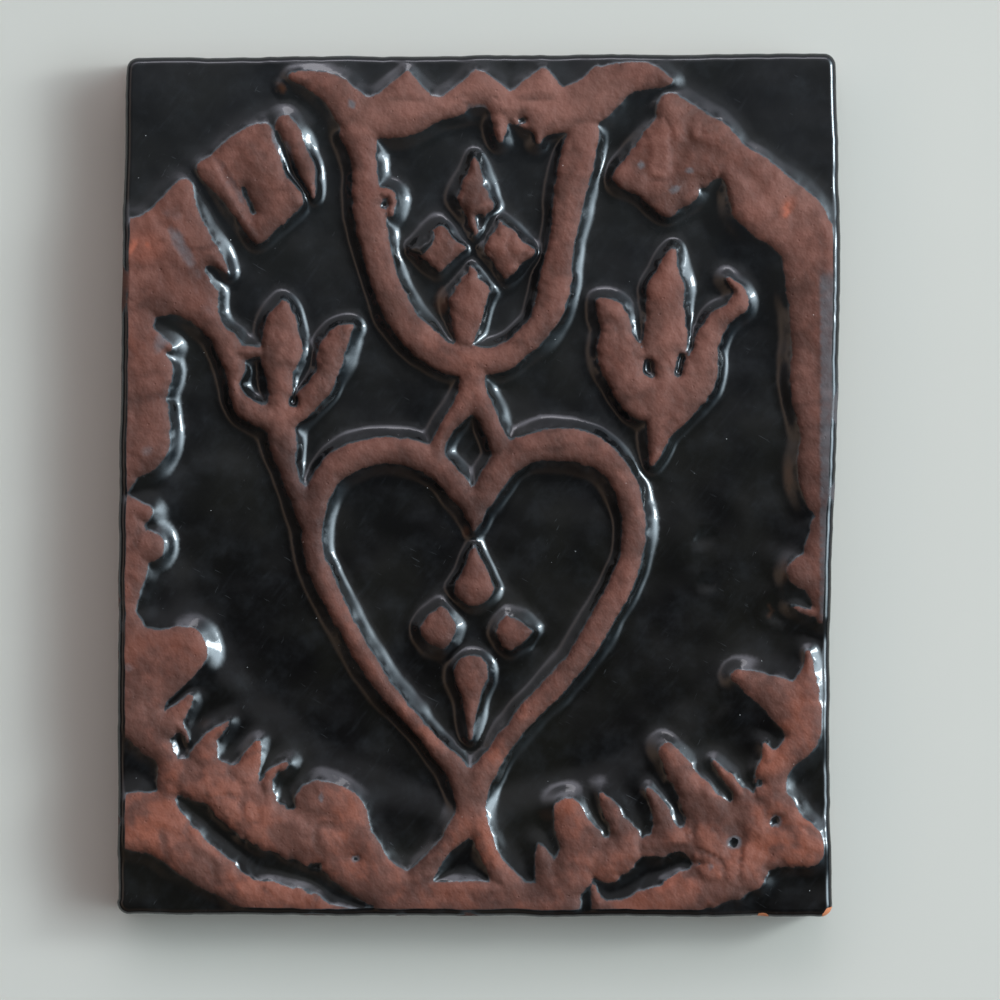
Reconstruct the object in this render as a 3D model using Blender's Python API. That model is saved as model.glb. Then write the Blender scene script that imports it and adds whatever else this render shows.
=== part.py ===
"""Decorative relief tile: a slab of pressed clay with raised figures on a sunken glazed ground.

The slab lies on its flat back, face up, with the top of the picture towards +Y. The figures, a
heart on a footed cup between two tulips inside a border of bars, swags and a rising sun, are drawn
in sheet units, of which the sheet has SHEET_WIDTH across and SHEET_HEIGHT up, and are spread over
the size of the tile. Heights, slopes and edges are in metres.
"""
import math

import bmesh
import bpy
import numpy as np
from mathutils import Vector
from mathutils.geometry import delaunay_2d_cdt

# Slab
TILE_WIDTH = 0.1024
TILE_HEIGHT = 0.1230
BODY_THICKNESS = 0.0092
RIM_ROUND = 0.0009
TOP_CORNER = 0.0006
BACK_CHAMFER = 0.0008
BACK_CORNER = 0.0007
RIGHT_EDGE_WAVE = 0.00065
LEFT_EDGE_BOW = 0.0003

# Relief
FIGURE_HEIGHT = 0.0026
SLOPE_WIDTH = 0.0014
SLOPE_WAIST = 0.40
WAIST_LEVEL = 0.42
BAND_RISE = 0.0012
DISH_SLOPE = 0.0032
FIGURE_BLEND = 0.0005
LOZENGE_ROUND = 0.00015

# Fineness of the surface
GRID_STEP = 0.0004
GRID_MARGIN = 0.002
PATH_STEPS = 5
LINE_TOLERANCE = 0.00008
LINE_REACH = 0.0040
RIM_TOLERANCE = 0.00006
RIM_REACH = 0.0040
RIM_STEPS = 3
CORNER_STEPS = 3
RIM_CLEARANCE = 0.0005
GROUND_SPACING = 0.0042
GROUND_CLEARANCE = 0.0021
DISH_CLEARANCE = 0.0015
VALLEY_SPACING = 0.0010
VALLEY_LEAST = 0.00025
WELD = 0.00012
JOIN_TOLERANCE = 0.000000001
LEAST_GLAZED_TILT = 0.1

# Size of the drawing sheet and the tile's corners on it, anticlockwise from the bottom left
SHEET_WIDTH = 102.4
SHEET_HEIGHT = 123.0
CORNERS = [(-51.5, -61.4), (51.0, -61.7), (51.4, 62.0), (-50.3, 61.4)]

# Strokes of the figures: x, y and half width at each knot
CROWN = [
    [(-26.3, 58.5, 0.7), (-23.8, 58.0, 1.4), (-20.6, 56.6, 2.4), (-16.8, 53.8, 3.1), (-10.4, 53.6, 2.9),
     (-4.8, 54.5, 1.4), (0.0, 55.1, 1.7), (4.8, 54.2, 2.2), (10.4, 53.4, 3.0), (16.4, 54.8, 3.6),
     (20.5, 58.1, 2.6), (24.6, 58.5, 1.9), (27.2, 57.9, 0.8)],
    [(-10.0, 55.4, 3.0), (-9.9, 58.9, 0.6)],
    [(-0.2, 55.2, 3.0), (-0.2, 59.2, 0.5)],
    [(9.4, 55.6, 3.1), (9.7, 59.4, 0.6)],
    [(3.3, 52.4, 1.5), (3.3, 49.6, 0.5)],
    [(9.0, 51.4, 1.4), (8.7, 49.4, 0.5)],
]
CUP = [
    [(-16.9, 50.4, 2.7), (-16.1, 45.2, 1.8), (-15.6, 40.0, 2.3), (-14.1, 32.4, 2.1), (-11.8, 26.0, 2.1),
     (-9.6, 22.5, 2.3), (-4.9, 18.5, 2.3), (-0.5, 17.9, 2.2), (4.0, 18.5, 2.0), (8.4, 22.2, 1.85),
     (10.3, 25.8, 2.2), (11.2, 29.6, 2.4), (12.3, 36.0, 1.95), (13.6, 43.4, 2.4), (15.2, 50.2, 2.5)],
    [(-14.0, 41.9, 0.8), (-12.2, 41.4, 0.7), (-12.4, 39.0, 0.6)],
]
STEM = [
    [(-0.7, 17.0, 2.2), (-0.7, 14.4, 1.8), (-1.4, 12.3, 1.7), (-2.8, 10.3, 1.4), (-4.4, 8.1, 1.15),
     (-5.6, 6.0, 1.2), (-5.9, 4.4, 1.4)],
    [(-0.7, 14.4, 1.8), (0.2, 12.3, 1.7), (1.4, 10.3, 1.5), (2.2, 8.2, 1.35), (3.4, 5.6, 1.5)],
]
HEART = [
    [(-0.5, -6.4, 0.4), (-0.5, -3.6, 1.5), (-2.6, -0.5, 1.85), (-5.0, 2.2, 1.85), (-8.2, 4.2, 2.1),
     (-12.3, 5.1, 1.95), (-16.3, 4.7, 2.0), (-20.4, 2.4, 2.05), (-22.9, -1.8, 1.8), (-23.5, -8.0, 1.5),
     (-22.3, -12.8, 1.6), (-18.3, -20.7, 1.4), (-14.2, -27.4, 1.35), (-8.4, -34.5, 1.15),
     (-3.4, -40.2, 1.6), (-0.9, -43.6, 2.4)],
    [(-0.5, -3.6, 1.5), (1.5, -0.3, 1.9), (3.9, 3.1, 2.1), (7.5, 5.4, 2.2), (12.0, 6.0, 2.35),
     (16.4, 5.0, 2.3), (19.9, 2.2, 1.85), (22.0, -2.6, 1.85), (22.4, -7.0, 1.7), (21.3, -12.2, 1.7),
     (18.6, -17.8, 1.75), (14.3, -24.9, 1.6), (7.7, -32.1, 1.55), (3.0, -37.9, 1.45), (-0.9, -43.6, 2.4)],
    [(-0.9, -43.6, 2.4), (-0.9, -46.4, 2.1), (-1.9, -48.6, 2.0), (-4.2, -51.0, 1.25), (-6.4, -53.9, 1.4),
     (-8.6, -56.6, 2.2)],
    [(-0.9, -46.4, 2.1), (0.3, -48.9, 1.5), (1.5, -52.0, 1.35), (2.6, -54.3, 1.5), (4.6, -57.2, 2.2)],
]
DROPS = [
    [(-0.4, -8.6, 0.25), (-0.5, -14.3, 2.9)],
    [(-0.8, -26.7, 2.6), (-0.9, -30.5, 1.35), (-1.0, -36.0, 0.3)],
]
LEFT_TULIP = [
    [(-24.4, -4.6, 1.4), (-25.4, -1.8, 1.5), (-26.5, 0.8, 1.25), (-27.3, 3.2, 1.45), (-27.7, 6.0, 2.0),
     (-28.0, 9.2, 2.2), (-28.0, 12.6, 1.9), (-28.2, 16.2, 2.2), (-28.0, 19.4, 3.0), (-28.0, 22.0, 2.6),
     (-27.8, 24.4, 1.7), (-27.8, 26.2, 0.5)],
    [(-27.6, 9.6, 2.2), (-25.2, 11.4, 1.9), (-22.9, 13.6, 1.8), (-21.5, 16.2, 1.65), (-20.5, 20.0, 2.0),
     (-19.2, 21.9, 1.2), (-17.9, 22.8, 0.5)],
    [(-28.4, 9.4, 2.0), (-31.4, 10.2, 1.6), (-33.4, 11.4, 1.3), (-34.8, 14.6, 1.05), (-34.7, 17.2, 1.5),
     (-36.0, 20.4, 1.8)],
    [(-34.6, 19.2, 1.0), (-31.2, 19.2, 0.9)],
]
RIGHT_TULIP = [
    [(28.1, 33.8, 0.5), (27.3, 31.0, 1.6), (27.0, 27.6, 2.75), (26.9, 24.0, 3.0), (26.9, 19.5, 3.4),
     (26.4, 14.5, 4.2), (26.2, 10.0, 2.2), (25.7, 6.2, 1.4), (25.0, 3.2, 0.5)],
    [(17.6, 26.2, 0.7), (19.5, 24.3, 2.2), (19.9, 22.0, 2.4), (20.1, 19.6, 3.1), (21.2, 17.2, 3.6),
     (24.0, 13.0, 3.6)],
    [(35.9, 29.6, 0.5), (37.5, 27.8, 1.0), (37.6, 26.2, 1.5), (36.4, 24.9, 1.2), (34.4, 23.6, 1.7),
     (33.3, 21.6, 1.8), (32.4, 18.0, 2.1), (31.5, 15.0, 2.6), (29.6, 12.4, 2.6), (27.0, 9.0, 1.9)],
]
LEFT_BORDER = [
    [(-48.2, 20.5, 2.4), (-47.3, 16.2, 3.8), (-47.6, 12.8, 2.9), (-47.2, 9.6, 3.4), (-47.6, 5.6, 3.3),
     (-49.6, 2.4, 1.6)],
    [(-51.5, 26.0, 5.5), (-51.5, 16.0, 4.5), (-51.5, 3.0, 3.2), (-51.5, -0.2, 1.6), (-51.5, -1.6, 1.6),
     (-51.5, -5.2, 3.6), (-51.5, -10.0, 4.6), (-51.5, -14.0, 3.8), (-51.5, -18.6, 2.7),
     (-51.5, -21.5, 4.5)],
    [(-46.5, 21.2, 1.2), (-44.0, 19.7, 0.7)],
    [(-49.5, -3.6, 2.0), (-47.6, -3.8, 1.3)],
    [(-49.6, -8.8, 2.6), (-47.0, -8.6, 2.4)],
]
NARROW_BAR = [
    [(-27.6, 51.7, 1.5), (-26.4, 50.0, 1.5), (-25.5, 47.5, 1.3), (-24.5, 45.3, 1.3), (-23.8, 42.9, 0.85),
     (-23.4, 41.4, 0.3)],
]
LEFT_SWAG = [
    [(-50.5, -24.5, 4.6), (-45.5, -24.6, 4.2), (-41.8, -23.6, 3.4), (-46.5, -27.5, 3.9),
     (-49.0, -31.0, 4.2), (-47.0, -34.9, 3.0), (-44.6, -38.4, 1.6), (-43.6, -41.5, 1.9)],
    [(-41.1, -30.5, 0.6), (-42.8, -32.5, 1.2), (-44.5, -34.5, 1.9)],
    [(-43.6, -41.5, 1.9), (-40.4, -41.8, 3.2), (-36.4, -43.6, 4.0), (-32.2, -46.8, 3.7),
     (-28.0, -49.6, 3.6), (-23.6, -50.2, 4.4), (-19.0, -52.4, 4.8), (-15.0, -56.4, 3.6)],
    [(-22.6, -44.6, 3.0), (-19.0, -45.6, 3.0), (-18.4, -50.0, 3.4)],
    [(-18.0, -54.5, 3.4), (-12.8, -56.6, 2.8), (-9.0, -58.0, 2.4)],
    [(-35.5, -33.8, 0.35), (-37.9, -36.0, 1.05), (-39.2, -38.8, 2.2)],
    [(-31.2, -36.6, 0.45), (-32.2, -38.6, 1.25), (-33.4, -41.6, 2.2)],
    [(-27.3, -39.8, 0.6), (-28.7, -40.5, 0.85), (-29.9, -42.2, 0.85), (-30.2, -45.0, 1.3)],
    [(-49.0, -48.0, 4.3), (-44.6, -48.8, 4.5), (-41.2, -52.4, 3.4), (-37.2, -55.2, 3.0),
     (-33.0, -58.3, 2.4), (-28.0, -59.4, 2.4), (-22.0, -60.8, 2.2), (-15.8, -61.8, 1.5)],
    [(-44.0, -41.5, 1.6), (-44.2, -45.5, 1.6)],
]
FOOT = [
    [(-12.0, -59.4, 3.0), (-4.0, -59.2, 2.7), (5.0, -59.2, 2.8), (12.6, -59.8, 2.2)],
    [(8.9, -51.4, 0.45), (9.5, -53.6, 1.3), (10.3, -56.6, 2.0)],
]
RISING_SUN = [
    [(13.0, -46.5, 2.1), (13.9, -49.2, 2.7), (15.2, -52.2, 3.3), (13.4, -55.6, 3.0), (11.5, -58.0, 2.6)],
    [(17.9, -44.2, 0.4), (18.9, -46.0, 1.2), (20.2, -48.6, 1.5), (21.2, -51.8, 2.5), (18.6, -53.8, 2.9)],
    [(24.5, -43.4, 0.35), (25.9, -46.2, 1.2), (27.2, -49.2, 1.9), (27.6, -50.6, 1.7)],
    [(27.2, -38.0, 1.3), (28.6, -40.4, 1.9), (30.4, -43.2, 2.3), (32.6, -46.4, 3.0), (34.5, -49.5, 4.2)],
    [(33.8, -39.5, 0.3), (35.4, -41.3, 0.6), (37.4, -43.4, 1.1), (38.6, -45.6, 2.2), (38.5, -48.5, 4.0)],
    [(37.3, -27.4, 1.1), (39.8, -28.4, 1.9), (43.0, -30.2, 2.8), (46.0, -32.6, 3.5), (46.6, -36.0, 2.4),
     (44.2, -38.8, 1.9), (42.2, -41.0, 2.3), (42.0, -44.0, 2.4), (42.5, -47.0, 3.8)],
    [(47.3, -23.9, 0.5), (47.4, -26.2, 0.95), (46.8, -29.5, 2.2)],
    [(41.2, -37.0, 0.4), (41.8, -39.0, 1.4)],
    [(46.9, -51.4, 3.1), (42.5, -50.2, 4.6), (37.5, -50.8, 5.6), (33.5, -50.5, 4.0)],
    [(24.2, -51.6, 1.4), (26.6, -51.2, 1.8), (31.0, -50.6, 2.0)],
    [(38.6, -54.8, 3.2), (34.4, -56.4, 3.6), (27.6, -59.2, 2.8), (22.4, -60.8, 2.3), (18.6, -61.2, 1.8),
     (17.2, -59.4, 0.9), (16.6, -57.2, 0.5)],
]
RIGHT_BORDER = [
    [(36.9, 46.3, 2.7), (39.4, 43.2, 4.2), (41.4, 40.6, 4.9), (44.9, 38.0, 4.8), (47.5, 34.5, 4.3),
     (48.4, 29.0, 4.4), (49.2, 22.0, 4.2), (49.2, 14.0, 4.4), (49.7, 7.3, 3.5), (49.6, 3.0, 4.0),
     (50.4, -0.8, 3.9), (51.2, -2.4, 2.4)],
    [(50.8, -4.8, 2.6), (50.4, -8.5, 3.5), (50.0, -13.0, 3.4), (50.2, -17.0, 1.9), (49.4, -19.0, 0.9)],
    [(46.9, -12.3, 2.6), (49.0, -12.3, 2.6)],
    [(45.2, -17.2, 0.35), (47.4, -18.1, 0.5), (49.0, -18.3, 0.6)],
]
STROKES = (CROWN + CUP + STEM + HEART + DROPS + LEFT_TULIP + RIGHT_TULIP + LEFT_BORDER + NARROW_BAR
           + LEFT_SWAG + FOOT + RISING_SUN + RIGHT_BORDER)

# Straight-sided figures: the lozenges in the cup and beside the drops
LOZENGES = [
    [(-0.4, 47.4), (2.4, 39.7), (-0.2, 35.2), (-3.2, 41.0)],
    [(-5.4, 37.2), (-1.9, 34.0), (-5.3, 30.7), (-9.2, 33.9)],
    [(3.2, 37.8), (8.2, 33.5), (4.0, 29.9), (0.8, 34.0)],
    [(-0.9, 31.1), (1.7, 27.6), (-0.6, 20.0), (-2.9, 20.0), (-4.2, 26.7)],
    [(-5.2, -17.2), (-3.0, -20.0), (-5.0, -23.4), (-8.2, -20.4)],
    [(4.3, -18.6), (7.7, -20.9), (4.5, -23.5), (2.7, -20.8)],
]

# Broad figures with curved outlines
LEFT_SHOULDER = [
    (-54.0, 38.0), (-49.1, 38.4), (-47.3, 39.1), (-45.6, 40.9), (-42.6, 43.7), (-40.9, 43.7),
    (-40.1, 41.0), (-39.2, 38.0), (-37.4, 34.8), (-35.5, 30.3), (-38.6, 31.6), (-38.3, 29.4),
    (-36.8, 27.4), (-36.7, 24.6), (-35.6, 22.3), (-33.6, 20.2), (-34.4, 18.4), (-36.6, 19.2),
    (-38.6, 21.4), (-40.2, 22.9), (-42.4, 24.2), (-46.0, 24.4), (-54.0, 24.0),
]
WIDE_BAR = [
    (-40.3, 45.4), (-36.9, 41.2), (-34.9, 38.6), (-33.0, 35.8), (-31.2, 34.5), (-28.7, 36.5),
    (-25.2, 39.9), (-25.2, 42.0), (-27.3, 44.5), (-28.3, 48.2), (-29.5, 51.8), (-31.5, 51.9),
    (-35.0, 50.1), (-38.0, 47.4),
]
RIGHT_BLOCK = [
    (27.5, 56.4), (25.6, 54.7), (24.9, 52.0), (22.5, 48.8), (19.5, 44.8), (20.1, 42.7), (22.5, 41.7),
    (26.7, 38.5), (28.8, 39.3), (31.5, 40.9), (32.8, 43.0), (35.3, 45.0), (37.9, 48.6), (34.9, 52.3),
    (31.5, 54.1),
]
PATCHES = [LEFT_SHOULDER, WIDE_BAR, RIGHT_BLOCK]

# Eyes pressed through the right tulip
EYES = [
    [(24.6, 17.6, 0.75), (24.6, 16.4, 0.75)],
    [(29.2, 18.3, 0.35), (28.8, 16.3, 0.65)],
]

# Edge of the inner dish, where the ground steps down
DISH = [
    (-43.2, 20.0), (-43.2, -13.0), (-38.3, -20.0), (-35.5, -26.0), (-28.0, -35.0), (-22.0, -39.0),
    (-11.0, -44.0), (0.0, -46.0), (9.5, -43.3), (18.0, -41.0), (28.0, -34.8), (35.0, -28.0),
    (40.3, -20.0), (43.0, -8.0), (44.5, 0.0), (44.0, 20.0), (42.0, 27.0), (33.0, 40.0), (22.0, 50.0),
    (8.0, 53.0), (-10.0, 53.0), (-24.0, 50.0), (-30.0, 43.0), (-40.0, 24.0),
]

# Colours: linear red, green, blue, then roughness
TERRACOTTA = (0.23, 0.115, 0.09, 0.85)
BLACK_GLAZE = (0.012, 0.012, 0.012, 0.12)


def placed(knots):
    """Knots of the drawing in metres on the tile; a half width follows the mean of both scales."""
    across = TILE_WIDTH / SHEET_WIDTH
    up = TILE_HEIGHT / SHEET_HEIGHT
    scales = (across, up, math.sqrt(across * up))
    return np.array(knots, dtype=float) * scales[:len(knots[0])]


def smooth_path(knots, closed=False):
    """Points of a smooth curve through all the knots."""
    count = len(knots)
    if count == 2:
        return knots
    spans = count if closed else count - 1
    path = []
    for i in range(spans):
        if closed:
            near = [knots[(i + k) % count] for k in (-1, 0, 1, 2)]
        else:
            near = [knots[min(max(i + k, 0), count - 1)] for k in (-1, 0, 1, 2)]
        before, here, there, after = near
        for step in range(PATH_STEPS):
            t = step / PATH_STEPS
            path.append(here + 0.5 * t * (there - before
                                          + t * (2 * before - 5 * here + 4 * there - after
                                                 + t * (3 * here - before - 3 * there + after))))
    if not closed:
        path.append(knots[-1])
    return np.array(path)


def nearest_share(x, y, start, end):
    """How far along the piece from start to end its nearest point lies, from 0 to 1."""
    dx = end[0] - start[0]
    dy = end[1] - start[1]
    length = dx * dx + dy * dy
    if length == 0:
        return np.zeros_like(x)
    return np.clip(((x - start[0]) * dx + (y - start[1]) * dy) / length, 0, 1)


def stroke_distance(x, y, path):
    """Distance to a stroke whose half width changes along it, negative inside."""
    best = np.full(x.shape, np.inf)
    for start, end in zip(path[:-1], path[1:]):
        share = nearest_share(x, y, start, end)
        middle = start + share[:, None] * (end - start)
        best = np.minimum(best, np.hypot(x - middle[:, 0], y - middle[:, 1]) - middle[:, 2])
    return best


def ring_distance(x, y, ring):
    """Distance to a closed outline, negative inside."""
    best = np.full(x.shape, np.inf)
    inside = np.zeros(x.shape, dtype=bool)
    for start, end in zip(ring, np.roll(ring, -1, axis=0)):
        share = nearest_share(x, y, start, end)
        middle = start + share[:, None] * (end - start)
        best = np.minimum(best, np.hypot(x - middle[:, 0], y - middle[:, 1]))
        if start[1] != end[1]:
            crossing = start[0] + (y - start[1]) * (end[0] - start[0]) / (end[1] - start[1])
            inside ^= ((start[1] > y) != (end[1] > y)) & (x < crossing)
    return np.where(inside, -best, best)


def blended(first, second):
    """Union of two distances with a small fillet where the figures meet."""
    share = np.clip(0.5 + 0.5 * (second - first) / FIGURE_BLEND, 0, 1)
    return second + share * (first - second) - FIGURE_BLEND * share * (1 - share)


class Drawing:
    """The figures and the dish as distances over the tile."""

    def __init__(self):
        """Spread the drawing over the tile."""
        self.reach = 2 * SLOPE_WIDTH + FIGURE_BLEND
        self.strokes = [smooth_path(placed(knots)) for knots in STROKES]
        self.lozenges = [placed(knots) for knots in LOZENGES]
        self.patches = [smooth_path(placed(knots), True) for knots in PATCHES]
        self.eyes = [smooth_path(placed(knots)) for knots in EYES]
        self.dish = smooth_path(placed(DISH), True)

    def near(self, x, y, shape):
        """Which points lie within reach of a figure."""
        margin = self.reach
        if shape.shape[1] > 2:
            margin += shape[:, 2].max()
        low = shape.min(axis=0) - margin
        high = shape.max(axis=0) + margin
        return (x > low[0]) & (x < high[0]) & (y > low[1]) & (y < high[1])

    def figure(self, x, y):
        """Distance to the raised figures, negative on them, and no more than the reach."""
        best = np.full(x.shape, self.reach)
        for path in self.strokes:
            near = self.near(x, y, path)
            best[near] = blended(best[near], stroke_distance(x[near], y[near], path))
        for ring in self.lozenges:
            near = self.near(x, y, ring)
            best[near] = blended(best[near], ring_distance(x[near], y[near], ring) - LOZENGE_ROUND)
        for ring in self.patches:
            near = self.near(x, y, ring)
            best[near] = blended(best[near], ring_distance(x[near], y[near], ring))
        for path in self.eyes:
            near = self.near(x, y, path)
            best[near] = np.maximum(best[near], -stroke_distance(x[near], y[near], path))
        return best

    def ground(self, x, y):
        """Height of the ground, low in the dish and higher in the band around it."""
        step = np.clip(ring_distance(x, y, self.dish) / DISH_SLOPE + 0.5, 0, 1)
        return BODY_THICKNESS + BAND_RISE * step * step * (3 - 2 * step)

    def surface(self, x, y):
        """Height of the face: figures, slopes and ground."""
        share = self.figure(x, y) / SLOPE_WIDTH
        rise = np.interp(share, (0, SLOPE_WAIST, 1), (1, WAIST_LEVEL, 0))
        low = self.ground(x, y)
        return low + rise * (BODY_THICKNESS + FIGURE_HEIGHT - low)


def side_bow(side, share):
    """How far a side of the tile stands out from the straight line between its corners."""
    if side == 1:
        return -RIGHT_EDGE_WAVE * np.sin(2 * math.pi * share)
    if side == 3:
        return LEFT_EDGE_BOW * np.sin(math.pi * share)
    return np.zeros_like(share)


def outline(inset, radius, stations):
    """Points of the tile's outline, moved in by the inset, with corners of the given radius.

    A station is a corner or side number, and a share of the way along it.
    """
    corners = placed(CORNERS)
    inward = [(1, 1), (-1, 1), (-1, -1), (1, -1)]
    centres = [corner + np.array(way) * (inset + radius) for corner, way in zip(corners, inward)]
    points = []
    for kind, number, share in stations:
        angle = math.pi * (1 + 0.5 * number)
        if kind == "corner":
            turn = angle + 0.5 * math.pi * share
            points.append(centres[number] + radius * np.array((math.cos(turn), math.sin(turn))))
            continue
        out = np.array((math.cos(angle + 0.5 * math.pi), math.sin(angle + 0.5 * math.pi)))
        start = centres[number] + radius * out
        end = centres[(number + 1) % 4] + radius * out
        points.append(start + share * (end - start) + side_bow(number, np.array(share)) * out)
    return np.array(points)


def thinned(points, tolerance, reach):
    """Numbers of the points that a chain needs to keep its shape, none further apart than reach."""
    kept = {0, len(points) - 1}
    spans = [(0, len(points) - 1)]
    while spans:
        first, last = spans.pop()
        if last - first < 2:
            continue
        chord = points[last] - points[first]
        length = math.hypot(chord[0], chord[1])
        away = points[first + 1:last] - points[first]
        if length > WELD:
            offsets = np.abs(chord[0] * away[:, 1] - chord[1] * away[:, 0]) / length
        else:
            offsets = np.hypot(away[:, 0], away[:, 1])
        middle = first + 1 + int(offsets.argmax())
        if offsets.max() <= tolerance:
            if length <= reach:
                continue
            middle = (first + last) // 2
        kept.add(middle)
        spans += [(first, middle), (middle, last)]
    return sorted(kept)


def rim_stations(drawing):
    """Stations around the rim, placed where the height along the rim needs them."""
    stations = []
    lengths = (TILE_WIDTH, TILE_HEIGHT, TILE_WIDTH, TILE_HEIGHT)
    for number in range(4):
        stations += [("corner", number, step / CORNER_STEPS) for step in range(CORNER_STEPS + 1)]
        count = int(lengths[number] / GRID_STEP)
        side = [("side", number, step / count) for step in range(count + 1)]
        points = outline(RIM_ROUND, TOP_CORNER, side)
        heights = drawing.surface(points[:, 0], points[:, 1])
        along = np.linspace(0, lengths[number], count + 1)
        kept = thinned(np.column_stack((along, heights)), RIM_TOLERANCE, RIM_REACH)
        stations += [side[i] for i in kept[1:-1]]
    return stations


def cell_links(above, centre):
    """Pairs of cell sides, joined by the line that passes through one cell of the grid."""
    sides = [i for i in range(4) if above[i] != above[(i + 1) % 4]]
    if len(sides) == 2:
        return [sides]
    if above[0] == centre:
        return [(0, 1), (2, 3)]
    return [(0, 3), (1, 2)]


def level_lines(xs, ys, field, level):
    """Chains of points along which the field has the given level."""
    above = field > level
    total = above[:-1, :-1].astype(int) + above[:-1, 1:] + above[1:, 1:] + above[1:, :-1]
    links = {}
    places = {}
    for j, i in zip(*np.nonzero((total > 0) & (total < 4))):
        nodes = [(j, i), (j, i + 1), (j + 1, i + 1), (j + 1, i)]
        values = [field[node] for node in nodes]
        for pair in cell_links([above[node] for node in nodes], sum(values) / 4 > level):
            ends = []
            for side in pair:
                start = nodes[side]
                end = nodes[(side + 1) % 4]
                key = (min(start, end), max(start, end))
                share = (level - values[side]) / (values[(side + 1) % 4] - values[side])
                places[key] = (xs[start[1]] + share * (xs[end[1]] - xs[start[1]]),
                               ys[start[0]] + share * (ys[end[0]] - ys[start[0]]))
                ends.append(key)
            links.setdefault(ends[0], []).append(ends[1])
            links.setdefault(ends[1], []).append(ends[0])
    return joined_chains(links, places)


def joined_chains(links, places):
    """Chains that follow the links from point to point, a closed one with its start repeated."""
    chains = []
    loose = dict.fromkeys(sorted(links, key=lambda key: -len(links[key])))
    while loose:
        chain = []
        onward = [next(reversed(loose))]
        while onward:
            chain.append(onward[0])
            del loose[onward[0]]
            onward = [key for key in links[chain[-1]] if key in loose]
        if chain[0] in links[chain[-1]] and len(chain) > 2:
            chain.append(chain[0])
        chains.append(np.array([places[key] for key in chain]))
    return chains


class Face:
    """Points and lines from which the face of the tile is triangulated."""

    def __init__(self, drawing):
        """Start with no points."""
        self.drawing = drawing
        self.points = []
        self.heights = []
        self.lines = []
        self.cells = {}

    def crowded(self, place, spacing):
        """Whether another point already stands within the spacing of this place."""
        cell = (int(place[0] // GROUND_SPACING), int(place[1] // GROUND_SPACING))
        for i in range(cell[0] - 1, cell[0] + 2):
            for j in range(cell[1] - 1, cell[1] + 2):
                for number in self.cells.get((i, j), []):
                    other = self.points[number]
                    if math.hypot(other[0] - place[0], other[1] - place[1]) < spacing:
                        return True
        return False

    def add(self, place, height):
        """Add one point and return its number."""
        cell = (int(place[0] // GROUND_SPACING), int(place[1] // GROUND_SPACING))
        self.cells.setdefault(cell, []).append(len(self.points))
        self.points.append(place)
        self.heights.append(height)
        return len(self.points) - 1

    def add_rim(self, ring, heights):
        """Add the closed ring at the edge of the face."""
        numbers = [self.add(place, height) for place, height in zip(ring, heights)]
        self.lines += list(zip(numbers, numbers[1:] + numbers[:1]))

    def add_chain(self, chain, heights, inside):
        """Add a chain of points with the lines between them, where it runs inside the rim."""
        before = None
        first = None
        for place, height, allowed in zip(chain[:-1], heights[:-1], inside[:-1]):
            if not allowed or self.crowded(place, WELD):
                before = None
                continue
            number = self.add(place, height)
            if before is not None:
                self.lines.append((before, number))
            if first is None:
                first = number
            before = number
        closed = np.allclose(chain[0], chain[-1])
        if closed and before is not None and inside.all() and first != before:
            self.lines.append((before, first))

    def add_free(self, places, spacing):
        """Add points that stand clear of all the others."""
        heights = self.drawing.surface(places[:, 0], places[:, 1])
        for place, height in zip(places, heights):
            if not self.crowded(place, spacing):
                self.add(place, height)

    def triangles(self):
        """Triangulate, and return places with heights, triangles, and the number of each rim point."""
        flat = [Vector((float(place[0]), float(place[1]))) for place in self.points]
        result = delaunay_2d_cdt(flat, self.lines, [], 1, JOIN_TOLERANCE)
        places = np.array([(vertex.x, vertex.y) for vertex in result[0]])
        heights = self.drawing.surface(places[:, 0], places[:, 1])
        number_of = {}
        for number, sources in enumerate(result[3]):
            for source in sources:
                number_of[source] = number
                heights[number] = self.heights[source]
        return np.column_stack((places, heights)), result[2], number_of


def valley_points(xs, ys, field):
    """Grid points along the bottoms of gaps too narrow to reach the ground."""
    middle = field[1:-1, 1:-1]
    crest = ((middle >= field[1:-1, :-2]) & (middle > field[1:-1, 2:])
             | (middle >= field[:-2, 1:-1]) & (middle > field[2:, 1:-1]))
    narrow = crest & (middle > VALLEY_LEAST) & (middle < SLOPE_WIDTH)
    rows, columns = np.nonzero(narrow)
    order = np.argsort(-middle[rows, columns], kind="stable")
    return np.column_stack((xs[columns[order] + 1], ys[rows[order] + 1]))


def ground_points(drawing):
    """Points over the open ground: along the step of the dish, and a wide grid elsewhere."""
    turned = np.roll(drawing.dish, -1, axis=0) - np.roll(drawing.dish, 1, axis=0)
    normals = np.column_stack((turned[:, 1], -turned[:, 0]))
    normals /= np.hypot(normals[:, 0], normals[:, 1])[:, None]
    half = 0.5 * DISH_SLOPE
    step = np.vstack([drawing.dish + offset * normals for offset in (-half, 0.0, half)])
    across = np.arange(-0.5 * TILE_WIDTH, 0.5 * TILE_WIDTH, GROUND_SPACING)
    up = np.arange(-0.5 * TILE_HEIGHT, 0.5 * TILE_HEIGHT, GROUND_SPACING)
    grid = np.meshgrid(across, up)
    return step, np.column_stack((grid[0].ravel(), grid[1].ravel()))


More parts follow.
